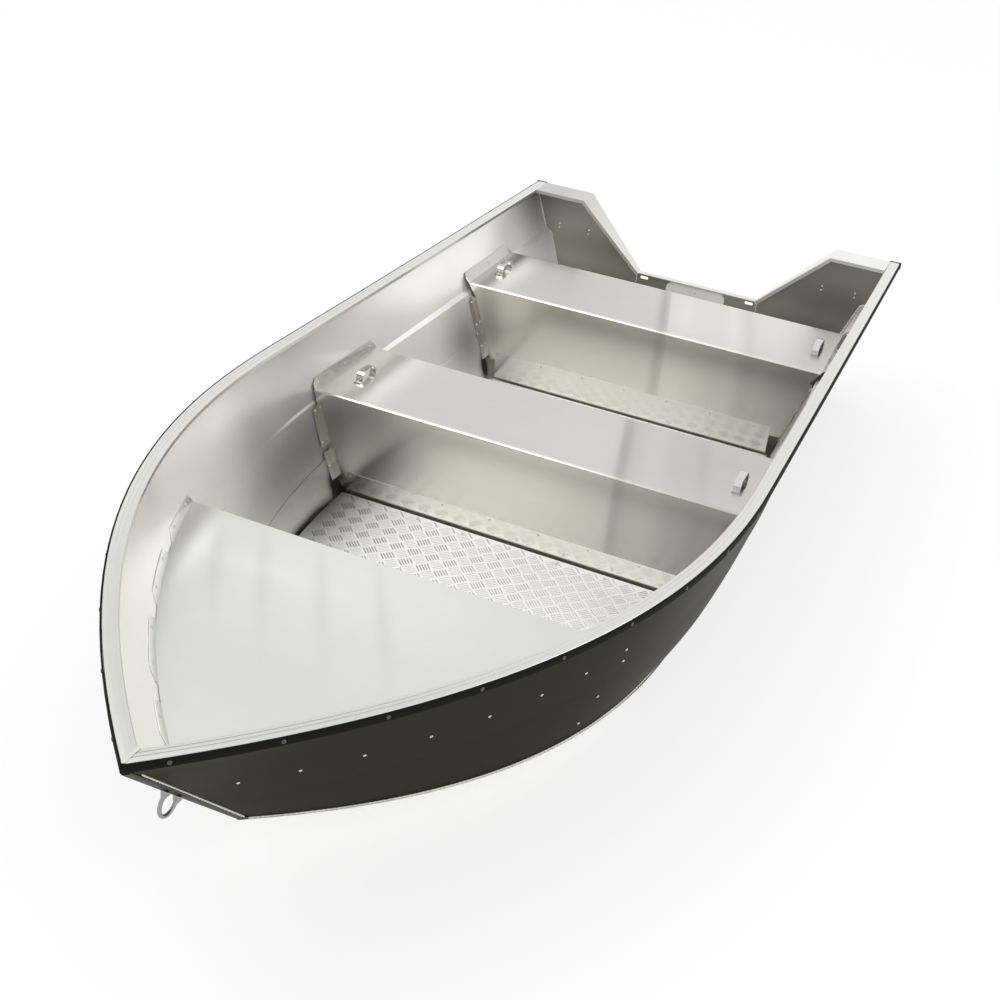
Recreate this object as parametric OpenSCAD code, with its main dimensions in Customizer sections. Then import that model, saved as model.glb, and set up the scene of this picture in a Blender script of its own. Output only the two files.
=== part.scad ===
// Flat-bottomed aluminium boat with a pointed bow, two benches and a bow deck.
// Millimetres. The bow points to +X, port is +Y and up is +Z.
// The origin is under the middle of the boat, on the ground that the runners stand on.

/* [Rim and hull lines] */
// Length of the rim from the transom to the bow point
length = 3224; // [3190:1:3260]
// Width over the rim at the transom
stern_beam = 1316; // [1300:1:1330]
// Height of the rim at the transom
stern_height = 475; // [465:1:485]
// Rise of the rim from transom to bow
sheer_rise = 72; // [60:1:85]
// Widening of the rim for each millimetre forward of the transom
rim_slope = 0.0132; // [0.011:0.0002:0.015]
// Share of the length at which the rim starts to close in to the bow
bow_share = 0.527; // [0.521:0.001:0.533]
// Fullness of the bow seen from above
rim_power = 2.32; // [2.28:0.01:2.36]
// Width of the bottom at the transom
chine_beam = 920; // [910:1:930]
// Widening of the bottom for each millimetre forward of the transom
chine_slope = 0.041; // [0.038:0.001:0.044]
// Share of the length at which the bottom starts to close in to the stem
chine_share = 0.443; // [0.438:0.001:0.448]
// Fullness of the bottom seen from above
chine_power = 2.89; // [2.85:0.01:2.93]
// Share of the length at which the bottom starts to rise
rocker_share = 0.465; // [0.46:0.001:0.475]
// Rise of the bottom at the foot of the stem
rocker_rise = 133; // [125:1:140]
// Share of the length at which the foot of the stem lies
foot_share = 0.8986; // [0.894:0.0001:0.903]
// Width between the sides at ledge height, at the transom
knee_beam = 1144; // [1134:1:1154]
// Widening at ledge height on each side from the aft bench to the forward bench
knee_gain = 60; // [54:1:64]
// Share of the length at which the sides start to close in at ledge height
knee_share = 0.419; // [0.415:0.001:0.423]
// Fullness of the sides at ledge height seen from above
knee_power = 3; // [2.95:0.01:3.05]
// Curve of the lower side near the transom, where 1 is straight
stern_curve = 1.1; // [1.05:0.01:1.15]
// Curve of the lower side at the forward bench
middle_curve = 0.61; // [0.57:0.01:0.65]
// Curve of the lower side under the bow deck
bow_curve = 0.95; // [0.92:0.01:1]
// Height of the pressed ledge along the upper side, at the transom
ledge_height = 317; // [314:1:319]
// How far the ledge falls on its way forward
ledge_fall = 36; // [32:1:38]
// How far the side steps outward at the ledge, at the transom
ledge_depth = 19; // [15:1:21]
// Height over which the ledge slopes
ledge_drop = 10; // [8:1:14]
// Share of the length at which the ledge has faded out
ledge_share = 0.546; // [0.54:0.001:0.555]

/* [Sheet] */
// Thickness of the side sheets
side_thickness = 2; // [1.6:0.1:2.5]
// Thickness of the bottom plate
bottom_thickness = 2.5; // [2:0.1:3]
// How far the bottom plate stands out past the side as a chine flange
chine_flange = 6; // [4:0.5:8]
// Height of the runners under the bottom
runner_height = 10; // [8:1:12]
// Width of a bottom runner
runner_width = 34; // [28:1:40]
// Sideways distance from the middle runner to an outer one
runner_spacing = 230; // [215:1:245]
// Thickness of folded sheet in benches, deck and tabs
fold_thickness = 2; // [1.6:0.1:2.4]
// Radius of the folds along bench and deck edges
fold_radius = 5; // [4:0.5:6]
// Space left between pieces that seat on each other
fit_gap = 0.3; // [0.25:0.05:0.4]

/* [Gunwale] */
// Width of the flat top of the gunwale
gunwale_width = 32; // [30:0.5:36]
// Wall thickness of the gunwale section
gunwale_wall = 2.5; // [2:0.1:3]
// Height of the gunwale's outer wall
gunwale_depth = 20; // [18:0.5:23]
// Height of the gunwale's inner lip
lip_depth = 12; // [10:0.5:14]
// Width of a groove in the gunwale top
groove_width = 3; // [2:0.5:3.5]
// Depth of a groove in the gunwale top
groove_depth = 0.8; // [0.5:0.1:1]
// Thickness of the rub rail
rail_thickness = 4; // [3.5:0.5:6]
// Width of the joint strip between the two gunwales at the bow
joint_width = 8; // [7:0.5:10]
// How far gunwales and transom caps stand aft of the transom
stern_overhang = 24; // [22:1:28]
// Thickness of the end piece at the aft end of each gunwale
rail_end_thickness = 8; // [6:0.5:10]

/* [Transom] */
// Lean of the transom from upright, in degrees
transom_rake = 8.9; // [8.5:0.1:9.3]
// Thickness of the transom plate
transom_thickness = 3; // [2.5:0.1:4]
// Half width of the motor notch at its top
notch_top = 444; // [438:1:450]
// Half width of the motor notch at its bottom
notch_bottom = 215; // [210:1:220]
// Height of the notch bottom
notch_height = 252; // [246:1:258]
// Thickness of the transom caps
cap_thickness = 2.5; // [2:0.1:3]
// How far the caps stand forward of the transom's top edge at the ears
cap_front = 72; // [66:1:78]
// How far the caps stand forward of the transom at the notch bottom
cap_foot = 18; // [14:1:20]
// Depth of the lip folded down along the front of the caps
cap_lip = 12; // [10:1:14]
// Width of the edge strip along the notch bottom
notch_strip = 24; // [20:1:26]
// Distance of a slot from the middle of the transom
slot_offset = 194; // [188:1:198]
// Length of a slot
slot_length = 30; // [26:1:34]
// Width of a slot
slot_width = 10; // [8:0.5:11]
// Height of the slots below the notch bottom
slot_drop = 17; // [15:0.5:19]
// Width of the inner motor pad
pad_width = 215; // [205:1:225]
// Height of the motor pads
pad_height = 150; // [140:1:158]
// Thickness of the inner motor pad
pad_thickness = 5; // [4:0.5:6]
// Width of the outer motor pad
outer_pad_width = 330; // [310:1:340]
// Thickness of the outer motor pad
outer_pad_thickness = 8; // [6:0.5:10]
// Diameter of the drain hole
drain_diameter = 25.4; // [22:0.1:26]
// Height of the drain hole's middle
drain_height = 68; // [64:1:74]
// Height of the lift handles
handle_height = 346; // [338:1:354]
// Distance of a lift handle from the middle of the transom
handle_offset = 485; // [480:1:490]
// Distance between the legs of a lift handle
handle_span = 114; // [108:1:120]
// How far a lift handle stands out from the transom
handle_reach = 42; // [38:1:46]
// Bar diameter of lift handles
handle_bar = 12; // [10:0.5:13]

/* [Benches, deck and floor] */
// Height of the floor panels' top above the ground
floor_height = 34; // [33:0.5:36]
// Thickness of a floor panel
floor_thickness = 3; // [2.5:0.1:3.5]
// Width of a bearer under the floor
bearer_width = 30; // [24:1:36]
// Gap between a floor panel and the hull side
floor_margin = 9; // [7:0.5:12]
// Distance from the transom to the rear edge of the aft floor panel
floor_back = 110; // [100:1:120]
// Share of the length at which the floor ends under the bow deck
floor_share = 0.608; // [0.6:0.001:0.615]
// Share of the length at which the aft bench's rear edge lies
aft_bench_share = 0.1107; // [0.1085:0.0001:0.113]
// Height of the aft bench top
aft_bench_height = 345; // [341:1:349]
// Share of the length at which the forward bench's rear edge lies
forward_bench_share = 0.3855; // [0.383:0.0001:0.388]
// Height of the forward bench top
forward_bench_height = 327; // [323:1:331]
// Fore and aft depth of a bench
bench_depth = 330; // [322:1:336]
// Height of the aft bench's upstand above the floor
aft_upstand = 94; // [88:1:98]
// Height of the forward bench's upstand above the floor
forward_upstand = 62; // [57:1:66]
// How far an upstand overlaps the bench face behind it
upstand_lap = 28; // [24:1:30]
// Space between an upstand and the floor panel in front of it
floor_gap = 10; // [8:0.5:12]
// Space left at each end of an upstand for bilge water
limber_width = 18; // [15:1:24]
// Height of the upturned tabs on bench ends and deck edge
tab_height = 24; // [20:1:27]
// How far the aft bench top stops short of the hull, where its tab leans out to the side
aft_tab_lean = 14; // [11:1:17]
// How far the forward bench top stops short of the hull
forward_tab_lean = 5; // [4:0.5:8]
// Width of the flanges on the ends of a bench face
flange_width = 24; // [20:1:27]
// Share of the length at which the deck's aft edge lies
deck_share = 0.698; // [0.695:0.001:0.701]
// Height of the bow deck
deck_height = 350; // [346:1:354]
// Depth of the folded lip along the deck's aft edge
deck_lip = 30; // [26:1:34]
// Length of a deck tab, as a share of the distance from one to the next
deck_tab_share = 0.78; // [0.74:0.01:0.82]
// Height of the lap line on the sides at the transom
lap_aft = 210; // [200:1:220]
// Height of the lap line on the sides at the deck
lap_fore = 95; // [92:1:100]

/* [Fittings] */
// Length of a bench loop over its feet
loop_length = 108; // [100:1:114]
// Length of a bench loop's arch
loop_arch = 80; // [74:1:86]
// Width of a bench loop's strap
loop_width = 20; // [16:1:24]
// Height of a bench loop
loop_height = 25; // [22:0.5:28]
// Outer radius of the bends in a bench loop's arch
loop_bend = 20; // [16:0.5:22]
// Thickness of a bench loop's strap
loop_strap = 3; // [2.5:0.1:4]
// Distance of a forward loop from the middle line
forward_loop_half = 553; // [545:1:562]
// Distance of an aft loop from the middle line
aft_loop_half = 535; // [525:1:540]
// Distance of a forward loop from its bench's rear edge
forward_loop_back = 179; // [165:1:190]
// Distance of an aft loop from its bench's rear edge
aft_loop_back = 162; // [150:1:175]
// Bar diameter of the bow eye
eye_bar = 8; // [7:0.5:9]
// Clear width inside the bow eye
eye_gap = 42; // [38:1:46]
// How far the bow eye stands out from the stem
eye_reach = 44; // [41:1:48]
// Height of the bow eye's middle on the stem
eye_height = 380; // [370:1:390]
// Flank width of the stem strip
stem_flank = 11; // [9:0.5:14]
// Thickness of the stem strip
stem_thickness = 3; // [2.5:0.1:4]

/* [Hidden] */
$fn = 48;
station_count = 54;
aft_stations = 20;
alloy = [0.78, 0.78, 0.76];
plate = [0.68, 0.68, 0.66];
rubber = [0.08, 0.08, 0.08];
half_beam = stern_beam / 2;
// Places along the boat, measured from the transom's top edge.
bow_start = length * bow_share;
chine_start = length * chine_share;
rocker_start = length * rocker_share;
stem_foot = length * foot_share;
knee_start = length * knee_share;
ledge_end = length * ledge_share;
deck_start = length * deck_share;
aft_bench_start = length * aft_bench_share;
forward_bench_start = length * forward_bench_share;
runner_start = length * 0.05;
deck_tab_pitch = (length - deck_start) * 0.2167;
deck_tab_length = deck_tab_pitch * deck_tab_share;
// Height of the bottom plate's upper face where it is flat, and of the side's lower edge.
chine_height = runner_height + bottom_thickness + 2 * fit_gap;
// The side sheet stands just inside the gunwale's outer wall.
sheet_inset = gunwale_wall + fit_gap;
// Pieces inside the hull stand off its curved sheet by a little more than the fit gap.
wall_depth = side_thickness + fit_gap + 0.2;
bilge_inset = wall_depth + fit_gap;
bilge_depth = bilge_inset + fold_thickness + 2 * fit_gap;
// Slopes of rim and chine at the bow turn a sheet offset into a setback along the middle line.
rim_end_slope = (half_beam + rim_slope * length) * rim_power / (length - bow_start) - rim_slope;
rim_setback = sqrt(1 + pow(rim_end_slope, 2)) / rim_end_slope;
chine_end_slope = (chine_beam / 2 + chine_slope * stem_foot) * chine_power
    / (stem_foot - chine_start) - chine_slope;
chine_setback = sqrt(1 + pow(chine_end_slope, 2)) / chine_end_slope;
tip = fit_gap / 2;
bow_reach = length + rail_thickness * rim_setback;
stern_reach = stern_overhang + fit_gap + rail_end_thickness;
middle = (bow_reach - stern_reach) / 2;
floor_under = floor_height - floor_thickness;
// Start and end of the aft, middle and forward floor panels.
floor_lead = fit_gap + fold_thickness + floor_gap;
floor_spans = [[floor_back, aft_bench_start - 6],
    [aft_bench_start + bench_depth + floor_lead, forward_bench_start - 6],
    [forward_bench_start + bench_depth + floor_lead, length * floor_share]];

function mix(a, b, u) = a + (b - a) * u;
// Stations lie closer together in the forward half, where the boat curves.
function station(i) = i <= aft_stations ? 0.5 * i / aft_stations
    : 0.5 + 0.5 * (i - aft_stations) / (station_count - aft_stations);
function ramp(a, b, x) = let(u = max(0, min(1, (x - a) / (b - a)))) u * u * (3 - 2 * u);
// Half width of a line that widens evenly and then closes in to the bow.
function plan(x, start_half, slope, turn, end, power, last) = start_half + slope * x
    - (x <= turn ? 0 : (start_half + slope * end - last) * pow((x - turn) / (end - turn), power));
function sheer(x) = stern_height + sheer_rise * (x / length + pow(x / length, 2)) / 2;
function chine_level(x) = chine_height
    + (x <= rocker_start ? 0 : rocker_rise * pow((x - rocker_start) / (stem_foot - rocker_start), 2));
function rake_x(z) = (stern_height - z) * tan(transom_rake);
function rim_end(inset) = length - inset * rim_setback;
function rim(x, inset) = plan(x, half_beam - inset, rim_slope, bow_start, rim_end(inset), rim_power, tip);
function chine_end(inset) = stem_foot - inset * chine_setback;
function chine(x, inset) =
    plan(x, chine_beam / 2 - inset, chine_slope, chine_start, chine_end(inset), chine_power, tip);

// The side runs from the chine to the sheet's top under the gunwale. Here t goes
// from transom to stem, v from chine to top, and inset is measured into the boat.
function low_x(t, inset) = mix(rake_x(chine_height) + fit_gap, chine_end(inset), t);
function top_x(t, inset) = mix(rake_x(stern_height - gunwale_wall - fit_gap) + fit_gap,
    rim_end(inset + sheet_inset), t);
function low_z(t, inset) = chine_level(low_x(t, inset));
function top_z(t, inset) = sheer(top_x(t, inset)) - gunwale_wall - fit_gap;
// The stem leans forward up to the gunwale's lower edge, and stands upright above it.
stem_part = (sheer(length) - gunwale_depth - 4 - low_z(1, 0)) / (top_z(1, 0) - low_z(1, 0));
function reach_part(t, v) = mix(v, min(1, v / stem_part), pow(t, 6));
function side_x(t, v, inset) = mix(low_x(t, inset), top_x(t, inset), reach_part(t, v));
function side_z(t, v, inset) = mix(low_z(t, inset), top_z(t, inset), v);
function side_v(t, z, inset) = (z - low_z(t, inset)) / (top_z(t, inset) - low_z(t, inset));
function side_curve(x) =
    mix(mix(stern_curve, middle_curve, ramp(0.217, 0.45, x / length)),
        bow_curve, ramp(0.543, 0.713, x / length));
function ledge(x) = ledge_depth * max(0, 1 - x / ledge_end);
function ledge_level(t) = ledge_height - ledge_fall * ramp(0.1, 0.6, t);
function stem_at(z, inset) = side_x(1, side_v(1, z, inset), inset);
function knee_end(inset) = stem_at(ledge_level(1), inset);
function knee(x, inset) =
    plan(x, knee_beam / 2 + knee_gain * ramp(0.14, 0.512, x / length) - inset, 0, knee_start,
        knee_end(inset), knee_power, tip);
// Half width of the side: a curved part from chine to ledge, the ledge, and a straight part to the top.
function side_shape(t, v, inset) =
    let(a = side_v(t, ledge_level(t), inset), b = side_v(t, ledge_level(t) + ledge_drop, inset),
        x = side_x(t, a, inset), inner = knee(x, inset), step = ledge(x),
        top = rim(top_x(t, inset), inset + sheet_inset),
        outer = mix(inner + step, top, (b - a) / (1 - a)))
    v <= a ? mix(chine(low_x(t, inset), inset), inner, pow(max(0, v / a), side_curve(x)))
        : v <= b ? mix(inner, outer, (v - a) / (b - a)) : mix(outer, top, (v - b) / (1 - b));
// Heights in a side section, as parts of the way from chine to top.
function levels(t) = let(a = side_v(t, ledge_level(t), 0), b = side_v(t, ledge_level(t) + ledge_drop, 0))
    [0, 0.02 * a, 0.07 * a, 0.16 * a, 0.3 * a, 0.52 * a, 0.76 * a, a, b, stem_part, 1];
// Half width of the sheet as it is folded, straight from one level to the next.
function side_y(t, v, inset) = lookup(v, [for (w = levels(t)) [w, side_shape(t, w, inset)]]);
function side_point(t, v, inset) = [side_x(t, v, inset), side_y(t, v, inset), side_z(t, v, inset)];
// Station t at which the side reaches the distance x at height z.
function side_t(x, z, inset, t, steps) = steps == 0 ? t
    : side_t(x, z, inset, t + (x - side_x(t, side_v(t, z, inset), inset)) / length, steps - 1);
// Half width inside the boat at distance x and height z.
function wall(x, z, inset) = let(t = side_t(x, z, inset, x / length, 6))
    side_y(t, side_v(t, z, inset), inset);
function lap(x) = mix(lap_aft, lap_fore, min(1, x / deck_start));
// Half section of the hull inside, used by faces and bulkheads that fill it.
function half_section(x, low, high, inset, count = 8) =
    [for (i = [0 : count]) let(z = mix(low, high, i / count)) [wall(x, z, inset), z]];
function both(half) = concat(half, [for (i = [len(half) - 1 : -1 : 0]) [-half[i][0], half[i][1]]]);

// Skin over a row of closed outlines that share a point count. The way back round an outline is split on
// the other diagonal, so that both faces of a thin sheet twist alike.
module skin(rows) {
    m = len(rows[0]);
    n = len(rows);
    polyhedron([for (r = rows) each r], concat(
        [[for (j = [0 : m - 1]) (n - 1) * m + j]],
        [for (i = [n - 2 : -1 : 0], j = [0 : m - 1])
            let(a = i * m + j, b = i * m + (j + 1) % m, c = b + m, d = a + m)
            each 2 * j < m ? [[a, b, c], [a, c, d]] : [[a, b, d], [b, c, d]]],
        [[for (j = [m - 1 : -1 : 0]) j]]));
}

module placed() {
    translate([-middle, 0, 0]) children();
}

module mirrored() {
    children();
    mirror([0, 1, 0]) children();
}

// Turns a drawing of width and height into an upright plate across the boat.
module across(x, thickness) {
    translate([x, 0, 0]) rotate([90, 0, 90]) linear_extrude(thickness) children();
}

// Turns a drawing into a plate on the leaning transom, measured forward of its inner face.
module on_transom(from, thickness) {
    translate([rake_x(0), 0, 0]) rotate([0, -transom_rake, 0]) rotate([90, 0, 90])
        translate([0, 0, from]) linear_extrude(thickness) children();
}

function up(z) = z / cos(transom_rake);

module side_sheet() {
    skin([for (i = [0 : station_count]) let(t = station(i), v = levels(t), m = len(v)) concat(
        [for (j = [0 : m - 1]) side_point(t, v[j], side_thickness)],
        [for (j = [m - 1 : -1 : 0]) side_point(t, v[j], 0)])]);
}

// Doubler inside the lower side, up to the lap line.
module bilge_strip() {
    first = 100;
    last = deck_start - 20;
    steps = 20;
    skin([for (i = [0 : steps])
        let(x = mix(first, last, i / steps), low = chine_level(x) + 2, high = lap(x))
        concat([for (j = [0 : 5]) let(z = mix(low, high, j / 5))
                [x, wall(x, z, bilge_inset + fold_thickness), z]],
            [for (j = [5 : -1 : 0]) let(z = mix(low, high, j / 5)) [x, wall(x, z, bilge_inset), z]])]);
}

module bottom() {
    color(alloy) placed() skin([for (i = [0 : station_count])
        let(x = mix(rake_x(0) + fit_gap, chine_end(-chine_flange), station(i)),
            y = chine(x, -chine_flange), z = chine_level(x) - fit_gap)
        [[x, -y, z], [x, y, z], [x, y, z - bottom_thickness], [x, -y, z - bottom_thickness]]]);
}

module runner(y, last) {
    steps = 24;
    skin([for (i = [0 : steps])
        let(x = mix(runner_start, last, i / steps), z = chine_level(x) - bottom_thickness - 2 * fit_gap,
            end = ramp(0, 40, x - runner_start) * ramp(0, 60, last - x), drop = mix(2, runner_height, end))
        [[x, y - runner_width / 2, z], [x, y + runner_width / 2, z],
            [x, y + runner_width / 2 - 6, z - drop], [x, y - runner_width / 2 + 6, z - drop]]]);
}

module bottom_runners() {
    color(alloy) placed() {
        runner(0, length * 0.806);
        for (s = [-1, 1]) runner(s * runner_spacing, length * 0.738);
    }
}

module bearer(y, first, last) {
    lower = [for (i = [0 : 8]) let(x = mix(first, last, i / 8)) [x, chine_level(x)]];
    translate([0, y + bearer_width / 2, 0]) rotate([90, 0, 0]) linear_extrude(bearer_width)
        polygon(concat(lower, [[last, floor_under - fit_gap], [first, floor_under - fit_gap]]));
}

module floor_bearers() {
    color(alloy) placed() for (span = floor_spans, y = [-1.75, -1, 0, 1, 1.75])
        bearer(y * runner_spacing, span[0] + 12, span[1] - 12);
}

// Lean of the stem from upright, and the half angle of the strip folded over it.
function stem_lean() = atan((rim_end(sheet_inset) - stem_foot)
    / (stem_part * (top_z(1, 0) - low_z(1, 0))));
function stem_turn() = atan(1.22 * rim_end_slope / cos(stem_lean()));

module on_stem() {
    translate([stem_foot, 0, low_z(1, 0)]) rotate([0, stem_lean(), 0]) children();
}

// Strip folded over the bow edges of both sides.
module stem() {
    turn = stem_turn();
    inner = fit_gap / sin(turn);
    outer = (fit_gap + stem_thickness) / sin(turn);
    back = stem_flank * cos(turn);
    half = stem_flank * sin(turn);
    high = sheer(length) - gunwale_depth - 4;
    color(alloy) placed() difference() {
        on_stem() translate([0, 0, -80]) linear_extrude(800) polygon([
            [inner, 0], [inner - back, half], [outer - back, half],
            [outer, 0], [outer - back, -half], [inner - back, -half]]);
        translate([stem_foot - 400, -100, high]) cube([1200, 200, 600]);
        translate([stem_foot - 600, -100, low_z(1, 0) - 200]) cube([1200, 200, 202]);
    }
}

module bow_eye() {
    seat = (2 * fit_gap + stem_thickness) / sin(stem_turn());
    along = (eye_height - low_z(1, 0)) / cos(stem_lean());
    radius = (eye_gap + eye_bar) / 2;
    leg = eye_reach - radius - eye_bar / 2;
    color(alloy) placed() on_stem() translate([seat, 0, along]) {
        translate([leg, 0, 0]) rotate([90, 0, 0]) rotate([0, 0, -90]) rotate_extrude(angle = 180)
            translate([radius, 0]) circle(d = eye_bar);
        for (s = [-1, 1]) translate([0, 0, s * radius]) {
            rotate([0, 90, 0]) cylinder(d = eye_bar, h = leg + 0.01);
            rotate([0, 90, 0]) cylinder(d1 = eye_bar * 2.4, d2 = eye_bar, h = leg * 0.8);
        }
    }
}

// Edge of the motor notch and ears, lowered by a depth.
function notch_edge(depth) =
    let(turn = atan((stern_height - notch_height) / (notch_top - notch_bottom)),
        side = depth * tan(turn / 2))
    [[notch_top + side, stern_height - depth], [notch_bottom + side, notch_height - depth]];

module slots() {
    for (s = [-1, 1]) translate([s * slot_offset, up(notch_height - slot_drop)]) {
        translate([-slot_length / 2 + slot_width / 2, 0]) circle(d = slot_width);
        translate([slot_length / 2 - slot_width / 2, 0]) circle(d = slot_width);
        square([slot_length - slot_width, slot_width], center = true);
    }
}

module transom() {
    v = levels(0);
    low = runner_height + fit_gap;
    corner = half_beam - gunwale_width - fit_gap;
    edge = [for (q = notch_edge(cap_thickness + fit_gap)) [q[0], up(q[1])]];
    half = concat([[0, up(low)], [chine_beam / 2 + chine_slope * rake_x(low), up(low)]],
        [for (j = [0 : len(v) - 2]) [side_y(0, v[j], 0), up(side_z(0, v[j], 0))]],
        [[rim(0, sheet_inset) - 1, up(stern_height - lip_depth - fit_gap)],
            [corner, up(stern_height - lip_depth - fit_gap)],
            [corner, up(stern_height - cap_thickness - fit_gap)]], edge);
    color(plate) placed() difference() {
        on_transom(-transom_thickness, transom_thickness) difference() {
            polygon(both(half));
            slots();
        }
        on_transom(-transom_thickness - 1, transom_thickness + 2)
            translate([0, up(drain_height)]) circle(d = drain_diameter);
    }
}

// Bands along the ears and slopes between two depths, carried fore and aft. They run past
// their ends by a given length.
module ear_bands(from, to, past) {
    high = notch_edge(from);
    low = notch_edge(to);
    corner = half_beam - gunwale_width - fit_gap + past;
    run_out = past > 0 ? [[high[1][0] - past, high[1][1]], [low[1][0] - past, low[1][1]]] : [];
    half = concat([[corner, high[0][1]], high[0], high[1]], run_out, [low[1], low[0], [corner, low[0][1]]]);
    across(-stern_overhang - 1, stern_overhang + cap_front + rake_x(0))
        for (s = [-1, 1]) polygon([for (q = half) [s * q[0], q[1]]]);
}

// Side view between two lines that run from the notch bottom to the ears.
module cap_side(back_low, back_high, front_low, front_high) {
    foot = rake_x(notch_height);
    base = notch_height - cap_lip - 1;
    translate([0, half_beam, 0]) rotate([90, 0, 0]) linear_extrude(stern_beam) polygon([
        [foot + back_low, base], [back_high, stern_height + 1],
        [front_high, stern_height + 1], [foot + front_low, base]]);
}

// Sheet folded over the transom's edge, wide at the ears and narrow at the notch.
module transom_cap() {
    high = notch_edge(0);
    low = notch_edge(cap_thickness);
    back = -transom_thickness - 7;
    color(alloy) placed() {
        difference() {
            intersection() {
                ear_bands(0, cap_lip, 0);
                cap_side(back, -stern_overhang, cap_foot, cap_front);
            }
            intersection() {
                ear_bands(cap_thickness, cap_lip + 6, 10);
                cap_side(back - 20, -stern_overhang - 20,
                    cap_foot - cap_thickness, cap_front - cap_thickness);
            }
        }
        across(rake_x(notch_height) + back, notch_strip) polygon([
            [-high[1][0] - 2, high[1][1]], [high[1][0] + 2, high[1][1]],
            [low[1][0] - 0.5, low[1][1]], [0.5 - low[1][0], low[1][1]]]);
    }
}

module pad_outline(width, height, top, corner) {
    translate([-width / 2, up(top) - height]) square([width, height - corner]);
    translate([-width / 2 + corner, up(top) - corner]) square([width - 2 * corner, corner]);
    for (s = [-1, 1]) translate([s * (width / 2 - corner), up(top) - corner]) circle(r = corner);
}

module motor_pad_inner() {
    color(alloy) placed() on_transom(fit_gap, pad_thickness)
        pad_outline(pad_width, pad_height, notch_height - cap_thickness - 4, 24);
}

module motor_pad_outer() {
    color(plate) placed()
        on_transom(-transom_thickness - fit_gap - outer_pad_thickness, outer_pad_thickness)
            pad_outline(outer_pad_width, pad_height, notch_height - cap_thickness - 4, 30);
}

module lift_handle() {
    bend = 14;
    for (s = [-1, 1]) translate([s * handle_span / 2, 0, 0]) {
        cylinder(d = handle_bar * 2.4, h = 3);
        cylinder(d = handle_bar, h = handle_reach - handle_bar / 2 - bend);
        translate([-s * bend, 0, handle_reach - handle_bar / 2 - bend]) rotate([90, 0, 0])
            rotate([0, 0, s > 0 ? 0 : 90]) rotate_extrude(angle = 90)
                translate([bend, 0]) circle(d = handle_bar);
    }
    translate([-handle_span / 2 + bend, 0, handle_reach - handle_bar / 2]) rotate([0, 90, 0])
        cylinder(d = handle_bar, h = handle_span - 2 * bend);
}

module transom_handles() {
    color(alloy) placed() translate([rake_x(0), 0, 0]) rotate([0, -transom_rake, 0])
        for (s = [-1, 1]) translate([-transom_thickness - fit_gap, s * handle_offset, up(handle_height)])
            rotate([0, -90, 0]) rotate([0, 0, 90]) lift_handle();
}

module drain_plug() {
    color(rubber) placed() translate([rake_x(0), 0, 0]) rotate([0, -transom_rake, 0])
        translate([-transom_thickness - fit_gap, 0, up(drain_height)]) rotate([0, 90, 0]) {
            translate([0, 0, -6]) cylinder(d = drain_diameter + 16, h = 6);
            translate([0, 0, -0.01]) cylinder(d = drain_diameter - 2 * fit_gap, h = transom_thickness + 14);
        }
}

// Height of the gunwale's slightly crowned top at a distance inward from the rim.
function crown(d) = -0.8 * pow(2 * d / gunwale_width - 1, 2);
// A point on the gunwale top, and the same point down in a groove.
function on_top(d) = [d, crown(d)];
function in_groove(d) = [d, crown(d) - groove_depth];
// Gunwale section: distance inward from the rim, and height from the rim.
function gunwale_section() = let(a = gunwale_width * 0.32, b = gunwale_width * 0.62)
    [on_top(1.5), on_top(a), in_groove(a), in_groove(a + groove_width), on_top(a + groove_width),
        on_top(b), in_groove(b), in_groove(b + groove_width), on_top(b + groove_width),
        on_top(gunwale_width - 1.5), [gunwale_width, -2.2], [gunwale_width, -lip_depth],
        [gunwale_width - gunwale_wall, -lip_depth], [gunwale_width - gunwale_wall, -gunwale_wall - 0.5],
        [gunwale_wall, -gunwale_wall], [gunwale_wall, -gunwale_depth], [0, -gunwale_depth], [0, -2.2]];

function rail_section() = let(a = fit_gap, b = rail_thickness)
    [[-a, -1], [-a, -gunwale_depth], [-b * 0.6, -gunwale_depth], [-b * 0.92, -gunwale_depth + 3.5],
        [-b, -gunwale_depth / 2], [-b * 0.92, -4.5], [-b * 0.6, -1]];

// Carries a section along the rim from stern to bow, to where it is a given distance off the middle.
module along_rim(section, last) {
    skin([for (i = [0 : station_count]) [for (j = [len(section) - 1 : -1 : 0])
        let(q = section[j], end = rim_end(q[0]) - (last - tip) / rim_end_slope,
            x = mix(-stern_overhang, end, station(i)))
        [x, i == station_count ? last : rim(x, q[0]), sheer(x) + q[1]]]]);
}

module gunwale_half() {
    color(alloy) placed() along_rim(gunwale_section(), joint_width / 2 + fit_gap);
}

module rub_rail_half() {
    color(rubber) placed() along_rim(rail_section(), tip);
}

module rail_ends() {
    high = sheer(-stern_overhang);
    color(rubber) placed() mirrored()
        translate([-stern_reach, half_beam - gunwale_width - 1, high - gunwale_depth - 0.5])
            cube([rail_end_thickness, gunwale_width + rail_thickness + 1, gunwale_depth + 0.5]);
}

module bow_joint() {
    half = joint_width / 2;
    thickness = gunwale_wall - 0.5;
    back = rim_end(gunwale_width) - 2;
    front = length - fit_gap * 2 - half;
    color(alloy) placed() translate([0, 0, sheer(length) - 0.4 - thickness]) linear_extrude(thickness)
        polygon([[back, -half], [front, -half], [front + half * 0.8, 0], [front, half], [back, half]]);
}

// Sheet tab that lies against the hull inside, with sloping ends.
module wall_tab(first, last, low, high, slant, inset = wall_depth, lean = 0) {
    span = [first, first + slant, mix(first, last, 0.5), last - slant, last];
    skin([for (i = [0 : 4])
        let(x = span[i], top = (i == 0 || i == 4) ? high - slant : high,
            face = [for (z = [low, mix(low, top, 0.5), top]) [z, lean * (high - z) / (high - low)]])
        concat([for (q = face) [x, wall(x, q[0], inset + fold_thickness) - q[1], q[0]]],
            [for (j = [2 : -1 : 0]) [x, wall(x, face[j][0], inset) - face[j][1], face[j][0]]])]);
}

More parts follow.
